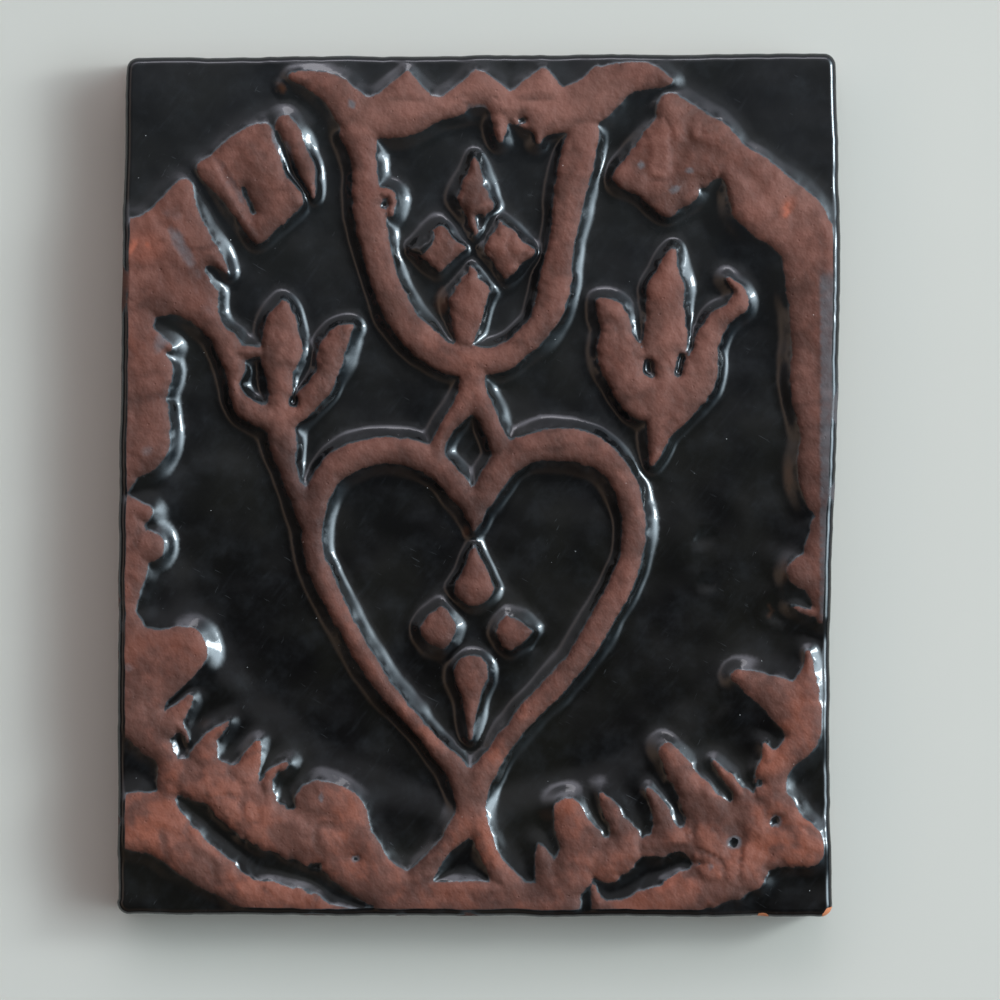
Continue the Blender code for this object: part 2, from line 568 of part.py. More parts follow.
def face_points(drawing, ring):
    """Gather the points and lines of the whole face inside the rim ring."""
    face = Face(drawing)
    face.add_rim(ring, drawing.surface(ring[:, 0], ring[:, 1]))
    low = ring.min(axis=0) - GRID_MARGIN
    high = ring.max(axis=0) + GRID_MARGIN
    xs = np.arange(low[0], high[0], GRID_STEP)
    ys = np.arange(low[1], high[1], GRID_STEP)
    grid = np.meshgrid(xs, ys)
    field = drawing.figure(grid[0].ravel(), grid[1].ravel()).reshape(grid[0].shape)
    top = BODY_THICKNESS + FIGURE_HEIGHT
    for share, rise in ((0.0, 1.0), (SLOPE_WAIST, WAIST_LEVEL), (1.0, 0.0)):
        for chain in level_lines(xs, ys, field, share * SLOPE_WIDTH):
            chain = chain[thinned(chain, LINE_TOLERANCE, LINE_REACH)]
            inside = ring_distance(chain[:, 0], chain[:, 1], ring) < -RIM_CLEARANCE
            ground = drawing.ground(chain[:, 0], chain[:, 1])
            face.add_chain(chain, ground + rise * (top - ground), inside)
    valleys = valley_points(xs, ys, field)
    valleys = valleys[ring_distance(valleys[:, 0], valleys[:, 1], ring) < -RIM_CLEARANCE]
    face.add_free(valleys, VALLEY_SPACING)
    step, grid_points = ground_points(drawing)
    for places, spacing in ((step, DISH_CLEARANCE), (grid_points, GROUND_CLEARANCE)):
        open_ground = drawing.figure(places[:, 0], places[:, 1]) > SLOPE_WIDTH
        open_ground &= ring_distance(places[:, 0], places[:, 1], ring) < -RIM_CLEARANCE
        face.add_free(places[open_ground], spacing)
    return face


def add_slab(bm, top, triangles, rim, stations):
    """Make the closed body: face, rounded rim, walls, chamfer and flat back."""
    vertices = [bm.verts.new(place) for place in top]
    for triangle in triangles:
        bm.faces.new([vertices[number] for number in triangle])
    above = [vertices[number] for number in rim]
    rim_heights = np.array([vertex.co.z for vertex in above])
    rings = []
    for step in range(1, RIM_STEPS + 1):
        turn = 0.5 * math.pi * step / RIM_STEPS
        radius = TOP_CORNER + RIM_ROUND * math.sin(turn)
        flat = outline(RIM_ROUND * (1 - math.sin(turn)), radius, stations)
        rings.append(np.column_stack((flat, rim_heights - RIM_ROUND * (1 - math.cos(turn)))))
    foot = outline(0.0, TOP_CORNER + RIM_ROUND, stations)
    rings.append(np.column_stack((foot, np.full(len(foot), BACK_CHAMFER))))
    back = outline(BACK_CHAMFER, BACK_CORNER, stations)
    rings.append(np.column_stack((back, np.zeros(len(back)))))
    for ring in rings:
        below = [bm.verts.new(place) for place in ring]
        for i in range(len(below)):
            after = (i + 1) % len(below)
            face = bm.faces.new((above[i], below[i], below[after], above[after]))
            face.smooth = True
        above = below
    bm.faces.new(above[::-1])
    bmesh.ops.recalc_face_normals(bm, faces=bm.faces)


def finish_material(name, values):
    """Plain material with a base colour and a roughness."""
    material = bpy.data.materials.new(name)
    material.use_nodes = True
    shader = material.node_tree.nodes["Principled BSDF"]
    shader.inputs["Base Color"].default_value = (values[0], values[1], values[2], 1.0)
    shader.inputs["Roughness"].default_value = values[3]
    shader.inputs["Metallic"].default_value = 0.0
    return material


def relief_tile():
    """The tile as one body: bare clay on top of the figures, glaze over the rest of the face."""
    drawing = Drawing()
    stations = rim_stations(drawing)
    ring = outline(RIM_ROUND, TOP_CORNER, stations)
    top, triangles, number_of = face_points(drawing, ring).triangles()
    bm = bmesh.new()
    add_slab(bm, top, triangles, [number_of[i] for i in range(len(ring))], stations)
    mesh = bpy.data.meshes.new("relief_tile")
    bm.to_mesh(mesh)
    bm.free()
    mesh.materials.append(finish_material("terracotta", TERRACOTTA))
    mesh.materials.append(finish_material("black_glaze", BLACK_GLAZE))
    centres = np.array([polygon.center for polygon in mesh.polygons])
    bare = drawing.figure(centres[:, 0], centres[:, 1]) < 0
    for polygon, clay in zip(mesh.polygons, bare):
        side = polygon.normal.z < LEAST_GLAZED_TILT
        polygon.material_index = 0 if clay or side else 1
    tile = bpy.data.objects.new("relief_tile", mesh)
    bpy.context.scene.collection.objects.link(tile)
    return tile


def main():
    """Clear the scene and build the tile."""
    for item in list(bpy.data.objects):
        bpy.data.objects.remove(item, do_unlink=True)
    relief_tile()


main()
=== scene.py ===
"""Decorative relief tile of pressed clay, dressed in bare terracotta and black glaze.

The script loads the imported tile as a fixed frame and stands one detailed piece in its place. The
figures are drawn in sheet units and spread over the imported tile's box. Everything else is in
metres in the tile's own frame: its flat back lies at height 0, +Z points out of the relief and +Y
to the top of the picture.
"""

import logging
import math
from dataclasses import dataclass, field
from enum import Enum
from typing import Any, NamedTuple, Optional, Union

import bpy
import numpy as np
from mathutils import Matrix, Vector
from mathutils.geometry import delaunay_2d_cdt


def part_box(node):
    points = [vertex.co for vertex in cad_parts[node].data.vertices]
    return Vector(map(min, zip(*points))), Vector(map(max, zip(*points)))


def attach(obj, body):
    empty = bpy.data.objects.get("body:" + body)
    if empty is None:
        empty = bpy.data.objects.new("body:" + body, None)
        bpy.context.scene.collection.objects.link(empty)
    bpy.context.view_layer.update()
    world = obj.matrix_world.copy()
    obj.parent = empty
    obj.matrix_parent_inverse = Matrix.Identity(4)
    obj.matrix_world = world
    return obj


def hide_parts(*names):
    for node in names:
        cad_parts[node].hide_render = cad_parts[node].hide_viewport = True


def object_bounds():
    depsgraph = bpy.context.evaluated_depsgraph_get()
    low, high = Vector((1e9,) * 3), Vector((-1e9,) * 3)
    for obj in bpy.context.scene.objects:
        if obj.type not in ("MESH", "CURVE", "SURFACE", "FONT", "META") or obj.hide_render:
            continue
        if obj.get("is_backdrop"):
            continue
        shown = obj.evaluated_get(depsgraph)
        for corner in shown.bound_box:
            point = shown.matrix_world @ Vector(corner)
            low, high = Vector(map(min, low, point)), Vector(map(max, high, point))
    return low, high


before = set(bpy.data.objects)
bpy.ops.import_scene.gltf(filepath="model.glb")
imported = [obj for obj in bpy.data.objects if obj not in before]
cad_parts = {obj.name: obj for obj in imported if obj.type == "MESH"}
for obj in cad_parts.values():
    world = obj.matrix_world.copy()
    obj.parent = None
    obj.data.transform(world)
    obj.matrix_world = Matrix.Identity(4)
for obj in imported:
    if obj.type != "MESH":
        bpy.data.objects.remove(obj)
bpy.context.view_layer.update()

LOG = logging.getLogger("relief_tile")

Values = np.ndarray
Knots = list[tuple[float, ...]]
Colour = tuple[float, float, float]
Entries = dict[Union[int, str], Any]

# A millimetre in metres, and how many random values a noise has along each side
MM = 0.001
LATTICE = 256

BLACK: Colour = (0.0, 0.0, 0.0)

# Strokes of the figures: x, y and half width at each knot, in sheet units
CROWN: list[Knots] = [
    [(-26.3, 58.5, 0.7), (-23.8, 58, 1.4), (-20.6, 56.6, 2.3), (-16.8, 53.2, 2.9), (-11, 52.9, 3.1),
     (-5.2, 54, 1.7), (0, 55.1, 1.7), (4.8, 54, 2.1), (10.4, 53.2, 3), (16, 54.9, 3.4), (20.5, 58.1, 2.5),
     (24.6, 58.5, 1.9), (27.2, 57.9, 0.8)],
    [(3.3, 52.4, 1.5), (3.3, 49.6, 0.5)],
    [(9, 51.4, 1.4), (8.7, 49.4, 0.5)],
]
CUP: list[Knots] = [
    [(-16.9, 50.4, 2.7), (-16.1, 45.2, 1.8), (-15.6, 40, 2.3), (-14.1, 32.4, 2.1), (-11.8, 26, 2.1),
     (-9.6, 22.5, 2.3), (-4.9, 18.5, 2.3), (-0.5, 17.9, 2.2), (4, 18.5, 2), (8.4, 22.2, 1.85),
     (10.3, 25.8, 2.2), (11.2, 29.6, 2.4), (12.3, 36, 1.95), (13.6, 43.4, 2.4), (15.2, 50.2, 2.5)],
    [(-14, 41.9, 0.8), (-12.2, 41.4, 0.7), (-12.4, 39, 0.6)],
]
STEM: list[Knots] = [
    [(-0.7, 17, 2.2), (-0.7, 14.4, 1.8), (-1.4, 12.3, 1.7), (-2.8, 10.3, 1.4), (-4.4, 8.1, 1.15),
     (-5.6, 6, 1.2), (-5.9, 4.4, 1.4)],
    [(-0.7, 14.4, 1.8), (0.2, 12.3, 1.7), (1.4, 10.3, 1.5), (2.2, 8.2, 1.35), (3.4, 5.6, 1.5)],
]
HEART: list[Knots] = [
    [(-0.5, -6.4, 0.4), (-0.5, -3.6, 1.5), (-2.6, -0.5, 1.85), (-5, 2.2, 1.85), (-8.2, 4.2, 2.1),
     (-12.3, 5.1, 1.95), (-16.3, 4.7, 2), (-20.4, 2.4, 2.05), (-22.9, -1.8, 1.8), (-23.5, -8, 1.5),
     (-22.3, -12.8, 1.6), (-18.3, -20.7, 1.4), (-14.2, -27.4, 1.35), (-8.4, -34.5, 1.15), (-3.4, -40.2, 1.6),
     (-0.9, -43.6, 2.4)],
    [(-0.5, -3.6, 1.5), (1.5, -0.3, 1.9), (3.9, 3.1, 2.1), (7.5, 5.4, 2.2), (12, 6, 2.35), (16.4, 5, 2.3),
     (19.9, 2.2, 1.85), (22, -2.6, 1.85), (22.4, -7, 1.7), (21.3, -12.2, 1.7), (18.6, -17.8, 1.75),
     (14.3, -24.9, 1.6), (7.7, -32.1, 1.55), (3, -37.9, 1.45), (-0.9, -43.6, 2.4)],
    [(-0.9, -43.6, 2.4), (-0.9, -46.4, 2.1), (-1.9, -48.6, 2), (-4.2, -51, 1.25), (-6.4, -53.9, 1.4),
     (-8.6, -56.6, 2.2)],
    [(-0.9, -46.4, 2.1), (0.3, -48.9, 1.5), (1.5, -52, 1.35), (2.6, -54.3, 1.5), (4.6, -57.2, 2.2)],
]
DROPS: list[Knots] = [
    [(-0.4, -8.6, 0.25), (-0.5, -14.3, 2.9)],
    [(-0.8, -26.7, 2.6), (-0.9, -30.5, 1.35), (-1, -36, 0.3)],
]
LEFT_TULIP: list[Knots] = [
    [(-24.4, -4.6, 1.4), (-25.4, -1.8, 1.5), (-26.5, 0.8, 1.25), (-27.3, 3.2, 1.45), (-27.7, 6, 2),
     (-28, 9.2, 2.2), (-28, 12.6, 1.9), (-28.2, 16.2, 2.2), (-28, 19.4, 3), (-28, 22, 2.6),
     (-27.8, 24.4, 1.7), (-27.8, 26.2, 0.5)],
    [(-27.6, 9.6, 2.2), (-25.2, 11.4, 1.9), (-22.9, 13.6, 1.8), (-21.5, 16.2, 1.65), (-20.5, 20, 2),
     (-19.2, 21.9, 1.2), (-17.9, 22.8, 0.5)],
    [(-28.4, 9.4, 2), (-31.4, 10.2, 1.6), (-33.4, 11.4, 1.3), (-34.8, 14.6, 1.05), (-34.7, 17.2, 1.5),
     (-36, 20.4, 1.8)],
    [(-34.6, 19.2, 1), (-31.2, 19.2, 0.9)],
]
RIGHT_TULIP: list[Knots] = [
    [(28.1, 33.8, 0.5), (27.3, 31, 1.6), (27, 27.6, 2.75), (26.9, 24, 3), (26.9, 19.5, 3.4),
     (26.4, 14.5, 4.2), (26.2, 10, 2.2), (25.7, 6.2, 1.4), (25, 3.2, 0.5)],
    [(17.6, 26.2, 0.7), (19.5, 24.3, 2.2), (19.9, 22, 2.4), (20.1, 19.6, 3.1), (21.2, 17.2, 3.6),
     (24, 13, 3.6)],
    [(35.9, 29.6, 0.5), (37.5, 27.8, 1), (37.6, 26.2, 1.5), (36.4, 24.9, 1.2), (34.4, 23.6, 1.7),
     (33.3, 21.6, 1.8), (32.4, 18, 2.1), (31.5, 15, 2.6), (29.6, 12.4, 2.6), (27, 9, 1.9)],
]
LEFT_BORDER: list[Knots] = [
    [(-48.2, 20.5, 2.4), (-47.3, 16.2, 3.8), (-47.6, 12.8, 2.9), (-47.2, 9.6, 3.4), (-47.6, 5.6, 3.3),
     (-49.6, 2.4, 1.6)],
    [(-51.5, 26, 5.5), (-51.5, 16, 4.5), (-51.5, 3, 3.2), (-51.5, -0.2, 1.6), (-51.5, -1.6, 1.6),
     (-51.5, -5.2, 3.6), (-51.5, -10, 4.6), (-51.5, -14, 3.8), (-51.5, -18.6, 2.7), (-51.5, -21.5, 4.5)],
    [(-46.5, 21.2, 1.2), (-44, 19.7, 0.7)],
    [(-49.5, -3.6, 2), (-47.6, -3.8, 1.3)],
    [(-49.6, -8.8, 2.6), (-47, -8.6, 2.4)],
]
NARROW_BAR: list[Knots] = [
    [(-27.6, 51.7, 1.5), (-26.4, 50, 1.5), (-25.5, 47.5, 1.3), (-24.5, 45.3, 1.3), (-23.8, 42.9, 0.85),
     (-23.4, 41.4, 0.3)],
]
LEFT_SWAG: list[Knots] = [
    [(-50.5, -24.5, 4.6), (-45.5, -24.6, 4.2), (-41.8, -23.6, 3.4), (-46.5, -27.5, 3.9), (-49, -31, 4.2),
     (-47, -34.9, 3), (-44.6, -38.4, 1.6), (-43.6, -41.5, 1.9)],
    [(-41.1, -30.5, 0.6), (-42.8, -32.5, 1.2), (-44.5, -34.5, 1.9)],
    [(-43.6, -41.5, 1.9), (-40.4, -41.8, 3.2), (-36.4, -43.6, 4), (-32.2, -46.8, 3.7), (-28, -49.6, 3.6),
     (-23.6, -50.2, 4.4), (-19, -52.4, 4.8), (-15, -56.4, 3.6)],
    [(-22.9, -44.9, 3), (-19.2, -46.2, 2.9), (-18.4, -50, 3.4)],
    [(-42.6, -34.4, 0.9), (-41.9, -35.2, 0.5), (-41.3, -36.6, 0.25)],
    [(-18, -54.5, 3.4), (-12.8, -56.6, 2.8), (-9, -58, 2.4)],
    [(-35.5, -33.8, 0.35), (-37.9, -36, 1.05), (-39.2, -38.8, 2.2)],
    [(-31.2, -36.6, 0.45), (-32.2, -38.6, 1.25), (-33.4, -41.6, 2.2)],
    [(-27.3, -39.8, 0.6), (-28.7, -40.5, 0.85), (-29.9, -42.2, 0.85), (-30.2, -45, 1.3)],
    [(-49, -48, 4.3), (-44.6, -48.8, 4.5), (-41.2, -52.4, 3.4), (-37.2, -55.2, 3), (-33, -58.3, 2.4),
     (-28, -59.4, 2.4), (-22, -60.8, 2.2), (-15.8, -61.8, 1.5)],
    [(-44, -41.5, 1.6), (-44.2, -45.5, 1.6)],
]
FOOT: list[Knots] = [
    [(-12, -59.4, 3), (-4, -59.2, 2.7), (5, -59.2, 2.8), (12.6, -59.8, 2.2)],
    [(8.9, -51.4, 0.45), (9.5, -53.6, 1.3), (10.3, -56.6, 2)],
]
RISING_SUN: list[Knots] = [
    [(13, -46.5, 2.1), (13.9, -49.2, 2.7), (15.2, -52.2, 3.3), (13.4, -55.6, 3), (11.5, -58, 2.6)],
    [(17.9, -44.2, 0.4), (18.9, -46, 1.2), (20.2, -48.6, 1.5), (21.2, -51.8, 2.5), (18.6, -53.8, 2.9)],
    [(24.5, -43.4, 0.35), (25.9, -46.2, 1.2), (27.2, -49.2, 1.9), (27.6, -50.6, 1.7)],
    [(27.2, -38, 1.3), (28.6, -40.4, 1.9), (30.4, -43.2, 2.3), (32.6, -46.4, 3), (34.5, -49.5, 4.2)],
    [(33.8, -39.5, 0.3), (35.4, -41.3, 0.6), (37.4, -43.4, 1.1), (38.6, -45.6, 2.2), (38.5, -48.5, 4)],
    [(37.3, -27.4, 1.1), (39.8, -28.4, 1.9), (43, -30.2, 2.8), (46, -32.6, 3.5), (46.6, -36, 2.4),
     (44.2, -38.8, 1.9), (42.2, -41, 2.3), (42, -44, 2.4), (42.5, -47, 3.8)],
    [(47.3, -23.9, 0.5), (47.4, -26.2, 0.95), (46.8, -29.5, 2.2)],
    [(41.2, -37, 0.4), (41.8, -39, 1.4)],
    [(46.9, -51.4, 3.1), (42.5, -50.2, 4.6), (37.5, -50.8, 5.6), (33.5, -50.5, 4)],
    [(24.2, -51.6, 1.4), (26.6, -51.2, 1.8), (31, -50.6, 2)],
    [(38.6, -54.8, 3.2), (34.4, -56.4, 3.6), (27.6, -59.2, 2.8), (22.4, -60.8, 2.3), (18.6, -61.2, 1.8),
     (17.2, -59.4, 0.9), (16.6, -57.2, 0.5)],
]
RIGHT_BORDER: list[Knots] = [
    [(36.9, 46.3, 2.7), (39.4, 43.2, 4.2), (41.4, 40.6, 4.9), (44.9, 38, 4.8), (47.5, 34.5, 4.3),
     (48.4, 29, 4.4), (49.2, 22, 4.2), (49.2, 14, 4.4), (49.7, 7.3, 3.5), (49.6, 3, 4), (50.4, -0.8, 3.9),
     (51.2, -2.4, 2.4)],
    [(50.8, -4.8, 2.6), (50.4, -8.5, 3.5), (50, -13, 3.4), (50.2, -17, 1.9), (49.4, -19, 0.9)],
    [(46.9, -12.3, 2.6), (49, -12.3, 2.6)],
    [(45.2, -17.2, 0.35), (47.4, -18.1, 0.5), (49, -18.3, 0.6)],
]

# Straight-sided outlines: the crown's points, and the lozenges in the cup and beside the drops
CROWN_POINTS: Knots = [
    (-14.8, 55.5), (-11, 58.5), (-10, 59.4), (-8.8, 58.1), (-6.4, 55.7), (-5, 55.5), (-2.5, 57.4),
    (-0.2, 59.5), (1.3, 59), (4.7, 56), (7.4, 58.3), (9, 59.7), (9.9, 59.8), (12.6, 56.2), (15, 58.2),
    (17.2, 60), (20, 59), (16, 54), (0, 54.6), (-15, 54),
]
LOZENGES: list[Knots] = [
    [(-0.4, 47), (2.1, 40), (-0.3, 35.8), (-3, 41.1)],
    [(-5.4, 37.2), (-1.9, 34), (-5.3, 30.7), (-9.2, 33.9)],
    [(3.2, 37.8), (8.2, 33.5), (4, 29.9), (0.8, 34)],
    [(-0.9, 31.1), (1.7, 27.6), (-0.6, 20), (-2.9, 20), (-4.2, 26.7)],
    [(-5.2, -17.2), (-3.9, -18.4), (-2.9, -20), (-3.6, -22.2), (-5, -23.3), (-6.7, -22.6), (-8, -21.2),
     (-8.1, -20.2), (-7.1, -18.7)],
    [(4.2, -18.5), (6.2, -19.4), (7.8, -20.8), (6.3, -22.4), (4.7, -23.5), (3.5, -22.7), (2.6, -21),
     (3.3, -19.5)],
]

# Broad figures with curved outlines
LEFT_SHOULDER: Knots = [
    (-54, 38), (-49.1, 38.4), (-47.3, 39.1), (-45.6, 40.9), (-42.6, 43.7), (-40.9, 43.7), (-40.1, 41),
    (-39.2, 38), (-37.4, 34.8), (-35.5, 30.3), (-38.6, 31.6), (-38.3, 29.4), (-36.8, 27.4), (-36.7, 24.6),
    (-35.6, 22.3), (-33.6, 20.2), (-34.4, 18.4), (-36.6, 19.2), (-38.6, 21.4), (-40.2, 22.9), (-42.4, 24.2),
    (-46, 24.4), (-54, 24),
]
WIDE_BAR: Knots = [
    (-40.3, 45.4), (-36.9, 41.2), (-34.9, 38.6), (-33, 35.8), (-31.2, 34.5), (-28.7, 36.5), (-25.2, 39.9),
    (-25.2, 42), (-27.3, 44.5), (-28.3, 48.2), (-29.5, 51.8), (-31.5, 51.9), (-35, 50.1), (-38, 47.4),
]
RIGHT_BLOCK: Knots = [
    (27.5, 56.4), (25.6, 54.7), (24.9, 52), (22.5, 48.8), (19.5, 44.8), (20.1, 42.7), (22.5, 41.7),
    (26.7, 38.5), (28.8, 39.3), (31.5, 40.9), (32.8, 43), (35.3, 45), (37.9, 48.6), (34.9, 52.3),
    (31.5, 54.1),
]

# Small cuts and pits in the figures
CUTS: list[Knots] = [
    [(24.6, 17.6, 0.75), (24.6, 16.4, 0.75)],
    [(29.2, 18.3, 0.35), (28.8, 16.3, 0.65)],
    [(-33.5, 42.4, 0.25), (-31.9, 39.1, 0.35)],
    [(-42.5, -44.9, 0.8), (-39.7, -47.1, 1.7), (-34.2, -51.9, 1.6), (-29.4, -54.5, 1.8), (-24, -56.2, 1.8),
     (-19.9, -58.6, 1.2), (-16.4, -60, 0.7)],
    [(-23.6, -54.6, 0.8), (-22.9, -54.3, 0.6)],
    [(-26.3, 12, 0.5), (-26.2, 12.2, 0.5)],
    [(36.7, -50.9, 0.7), (36.8, -51, 0.7)],
    [(42.7, -47.9, 0.55), (42.8, -48.1, 0.5)],
    [(-13.3, 40.1, 0.5), (-13.2, 40.2, 0.5)],
    [(-0.5, 52.7, 1.4), (0.5, 52.8, 1.4)],
    [(0.5, 38.3, 0.35), (0.4, 36.9, 0.3)],
    [(-17.4, -53.3, 0.45), (-17.3, -53.4, 0.45)],
    [(40.4, -42.7, 0.5), (40.5, -42.5, 0.6)],
    [(6.3, 52.2, 0.4), (6.6, 52.3, 0.4)],
]

# Edge of the inner dish, where the ground steps down
DISH: Knots = [
    (-43.2, 20), (-43.2, -13), (-38.3, -20), (-35.5, -26), (-28, -35), (-22, -39), (-11, -44), (0, -46),
    (9.5, -43.3), (18, -41), (28, -34.8), (35, -28), (40.3, -20), (43, -8), (44.5, 0), (44, 20), (42, 27),
    (33, 40), (22, 50), (8, 53), (-10, 53), (-24, 50), (-30, 43), (-40, 24),
]


class Mark(Enum):
    """Kinds of local mark that the clay and the glaze carry."""

    WASH = "wash"
    CHIP = "chip"
    GLOW = "glow"
    COVER = "cover"
    BROWN = "brown"
    ROUGH = "rough"
    DENT = "dent"
    PRESS = "press"
    PALE = "pale"
    DUSKY = "dusky"


class Spot(NamedTuple):
    """One oval mark, in sheet units, with the turn of its long side in degrees."""

    x: float
    y: float
    along: float
    across: float
    strength: float
    turn: float = 0.0


# Oval marks: x, y, half length, half width and strength, then the turn of the length where it has one
SPOTS: dict[Mark, Knots] = {
    # Grey remains of glaze on the clay
    Mark.WASH: [
        (36.75, -50.95, 1.5, 1.3, 1.1), (42.75, -47.95, 1.2, 1.1, 1), (-26.25, 12.1, 1, 0.9, 1),
        (-44.6, 21.5, 3.6, 1.6, 0.8, 60), (-47, 5, 1.6, 1.2, 0.5), (-50, -26, 1.6, 1.4, 0.6),
        (-41.8, 33.5, 4.8, 1.3, 0.7, 122), (-43.5, 38.5, 4.5, 2.4, 0.4, 120),
        (-38.5, 26.5, 5, 2.6, 0.38, 130), (-27, 47.5, 3, 0.9, 0.6, 105), (-35.8, 44.4, 5, 1.2, 0.5, 122),
        (-33, 40, 5, 0.9, 0.35, 115), (23.5, 45.9, 0.9, 0.8, 0.9), (28.3, 42.4, 1.2, 0.8, 0.9, 30),
        (30.4, 45.1, 1, 0.8, 0.8), (-17.4, -53.3, 0.9, 0.7, 0.9), (-22.3, -44.6, 0.6, 1, 0.9),
        (33.4, -54.4, 0.8, 0.7, 0.8), (40.4, -42.6, 0.7, 0.5, 0.6), (0, 53.6, 2.4, 1.6, 0.7),
        (-28.6, 49.2, 2.6, 0.8, 1, 105), (-17.9, 54.6, 1.1, 0.7, 1.1, 120)],
    # Chips through the glaze, showing orange
    Mark.CHIP: [
        (41, -61.6, 1, 0.6, 1), (50.3, -61.2, 1.2, 0.8, 1, 45)],
    # Scraped clay, showing orange
    Mark.GLOW: [
        (-47.6, 34.2, 4.2, 3, 0.38), (-49.2, 34.2, 1.4, 0.5, 0.6, 70), (-47, 34.5, 0.6, 0.4, 0.4, 110),
        (44.4, 39.9, 2.4, 1.4, 0.5, 60), (44.2, 39.3, 1.2, 0.35, 0.7, 75), (27, -56.6, 2.6, 1.8, 0.45, 30),
        (31, -57, 2, 1.4, 0.35)],
    # Broad pale parts of the clay
    Mark.PALE: [
        (3, 54.5, 26, 7, 0.8), (-33, -46, 11, 7, 0.3, -30), (43, 41, 8, 6, 0.5, -40), (30, 18, 8, 9, 0.4)],
    # Broad dusky parts of the clay
    Mark.DUSKY: [
        (22, -52, 14, 9, 0.35), (-46, -40, 8, 8, 0.35), (-3, -12, 24, 26, 0.7), (-27, -3, 7, 13, 1.6),
        (-49, -24, 9, 9, 0.7), (0, -62, 52, 6, 0.9), (-48.5, 4, 8, 30, 0.6), (-36, 32, 12, 12, 0.6),
        (-2, 35, 8, 12, 0.5), (49, -4, 7, 24, 0.6), (-6, -53, 7, 7, 0.5)],
    # Glaze that covers the top of a figure
    Mark.COVER: [
        (-8.1, 35, 2.7, 2, 1, 45), (-48.6, 39, 1, 0.6, 0.6)],
    # Clay that shows brown through thin glaze
    Mark.BROWN: [
        (-5, 26.5, 2.6, 1.2, 0.8, 90), (-28, 56.9, 1.3, 0.9, 1, 120), (-1.6, -6.6, 1.2, 0.8, 0.9, 90),
        (41.9, -18, 1.6, 0.5, 0.8, 80), (44.6, 1.5, 3.6, 0.9, 0.6, 90), (44, -12, 2.4, 1, 0.5, 90),
        (-39, -34, 1.6, 1, 0.4, 30), (10, -47, 2, 1.4, 0.4)],
    # Clay left rough by the tool
    Mark.ROUGH: [
        (34, -50, 18, 12, 1), (29, 47, 9, 8, 1), (-33, -48, 20, 12, 0.7, -30), (-42, 30, 10, 8, 0.5),
        (-0.8, 35, 11, 12, 0.9), (26, 21, 13, 13, 0.5), (-26, 15, 11, 12, 0.3), (-49, 12, 5, 12, 0.4),
        (42, 40, 9, 5, 0.5, -40)],
    # Hollows and rises of the ground, in tenths of a millimetre
    Mark.DENT: [
        (43.4, -17.6, 2.6, 2.3, -5), (-38, 39.6, 6, 1.4, -1.5, 120), (-42.3, -37.2, 1.6, 1.2, -4, 90),
        (-28, 56.9, 1.4, 0.9, 5, 120), (-0.6, -21, 9, 8, 5.5), (-0.6, 34, 8.5, 8, 4.5),
        (36.5, -10, 9, 2.2, 3, 78), (32.5, -7.5, 2, 1.3, -3, 30), (33, -14, 1.6, 1.2, -3),
        (8.5, -22, 2, 1, -2, 80), (36.5, -32.5, 4.5, 1.6, 3.5, 45), (41, -61.6, 1.2, 0.8, -3),
        (50.3, -61.2, 1.3, 1, -4, 45)],
    # Marks pressed into the clay, in tenths of a millimetre
    Mark.PRESS: [
        (-34.4, 41.6, 7.5, 0.8, -4, 120), (-42.5, 34.5, 7, 1.1, -3.2, 128),
        (-40.6, 32.2, 5.5, 0.9, 1.8, 128), (-32, 47, 4, 1.2, 1.6, 125), (-28, 43.5, 4, 1.4, 1.6, 125),
        (28.5, 47, 5, 1.3, -2, 60), (31, 43.4, 2, 1, -2.4, 20), (25, 44, 2.4, 1.2, -2, 70),
        (40, 42.5, 5, 1.3, -2.2, -50), (39, -50.5, 6, 1.2, -2.2, -35), (34.5, -46, 5, 1.2, 1.8, -60),
        (36, -55, 4.5, 1.2, 1.8, 10), (-36, -46, 6, 1.3, 1.8, -35), (-24.5, -47.5, 5, 1.2, -2.2, -20),
        (-45.5, -49.5, 5, 1.3, -2, -20), (0, -59, 9, 1.3, -1.6)],
}


def mixed_corners(grid: Values, column: Values, row: Values, across: Values,
                  up: Values) -> Values:
    """Mix the four values of a grid around each place.

    Args:
        grid: Values in rows and columns.
        column: Column to the left of each place.
        row: Row below each place.
        across: Share of the next column.
        up: Share of the next row.

    Returns:
        One value for each place.
    """
    low = grid[row, column] * (1 - across) + grid[row, column + 1] * across
    high = grid[row + 1, column] * (1 - across) + grid[row + 1, column + 1] * across
    return low * (1 - up) + high * up


def smooth_noise(x: Values, y: Values, wavelength: float, seed: int) -> Values:
    """Gently rolling noise over the plane.

    Args:
        x: Across, in metres.
        y: Up, in metres.
        wavelength: Distance between neighbouring random values, in metres.
        seed: Number that fixes the random values.

    Returns:
        Values from -1 to 1, one for each place.
    """
    lattice = np.random.default_rng(seed).uniform(-1, 1, (LATTICE, LATTICE))
    u = x / wavelength + LATTICE // 4
    v = y / wavelength + LATTICE // 4
    column = np.floor(u).astype(int)
    row = np.floor(v).astype(int)
    across, up = (part ** 3 * (part * (6 * part - 15) + 10) for part in (u - column, v - row))
    return mixed_corners(lattice, column % (LATTICE - 1), row % (LATTICE - 1), across, up)


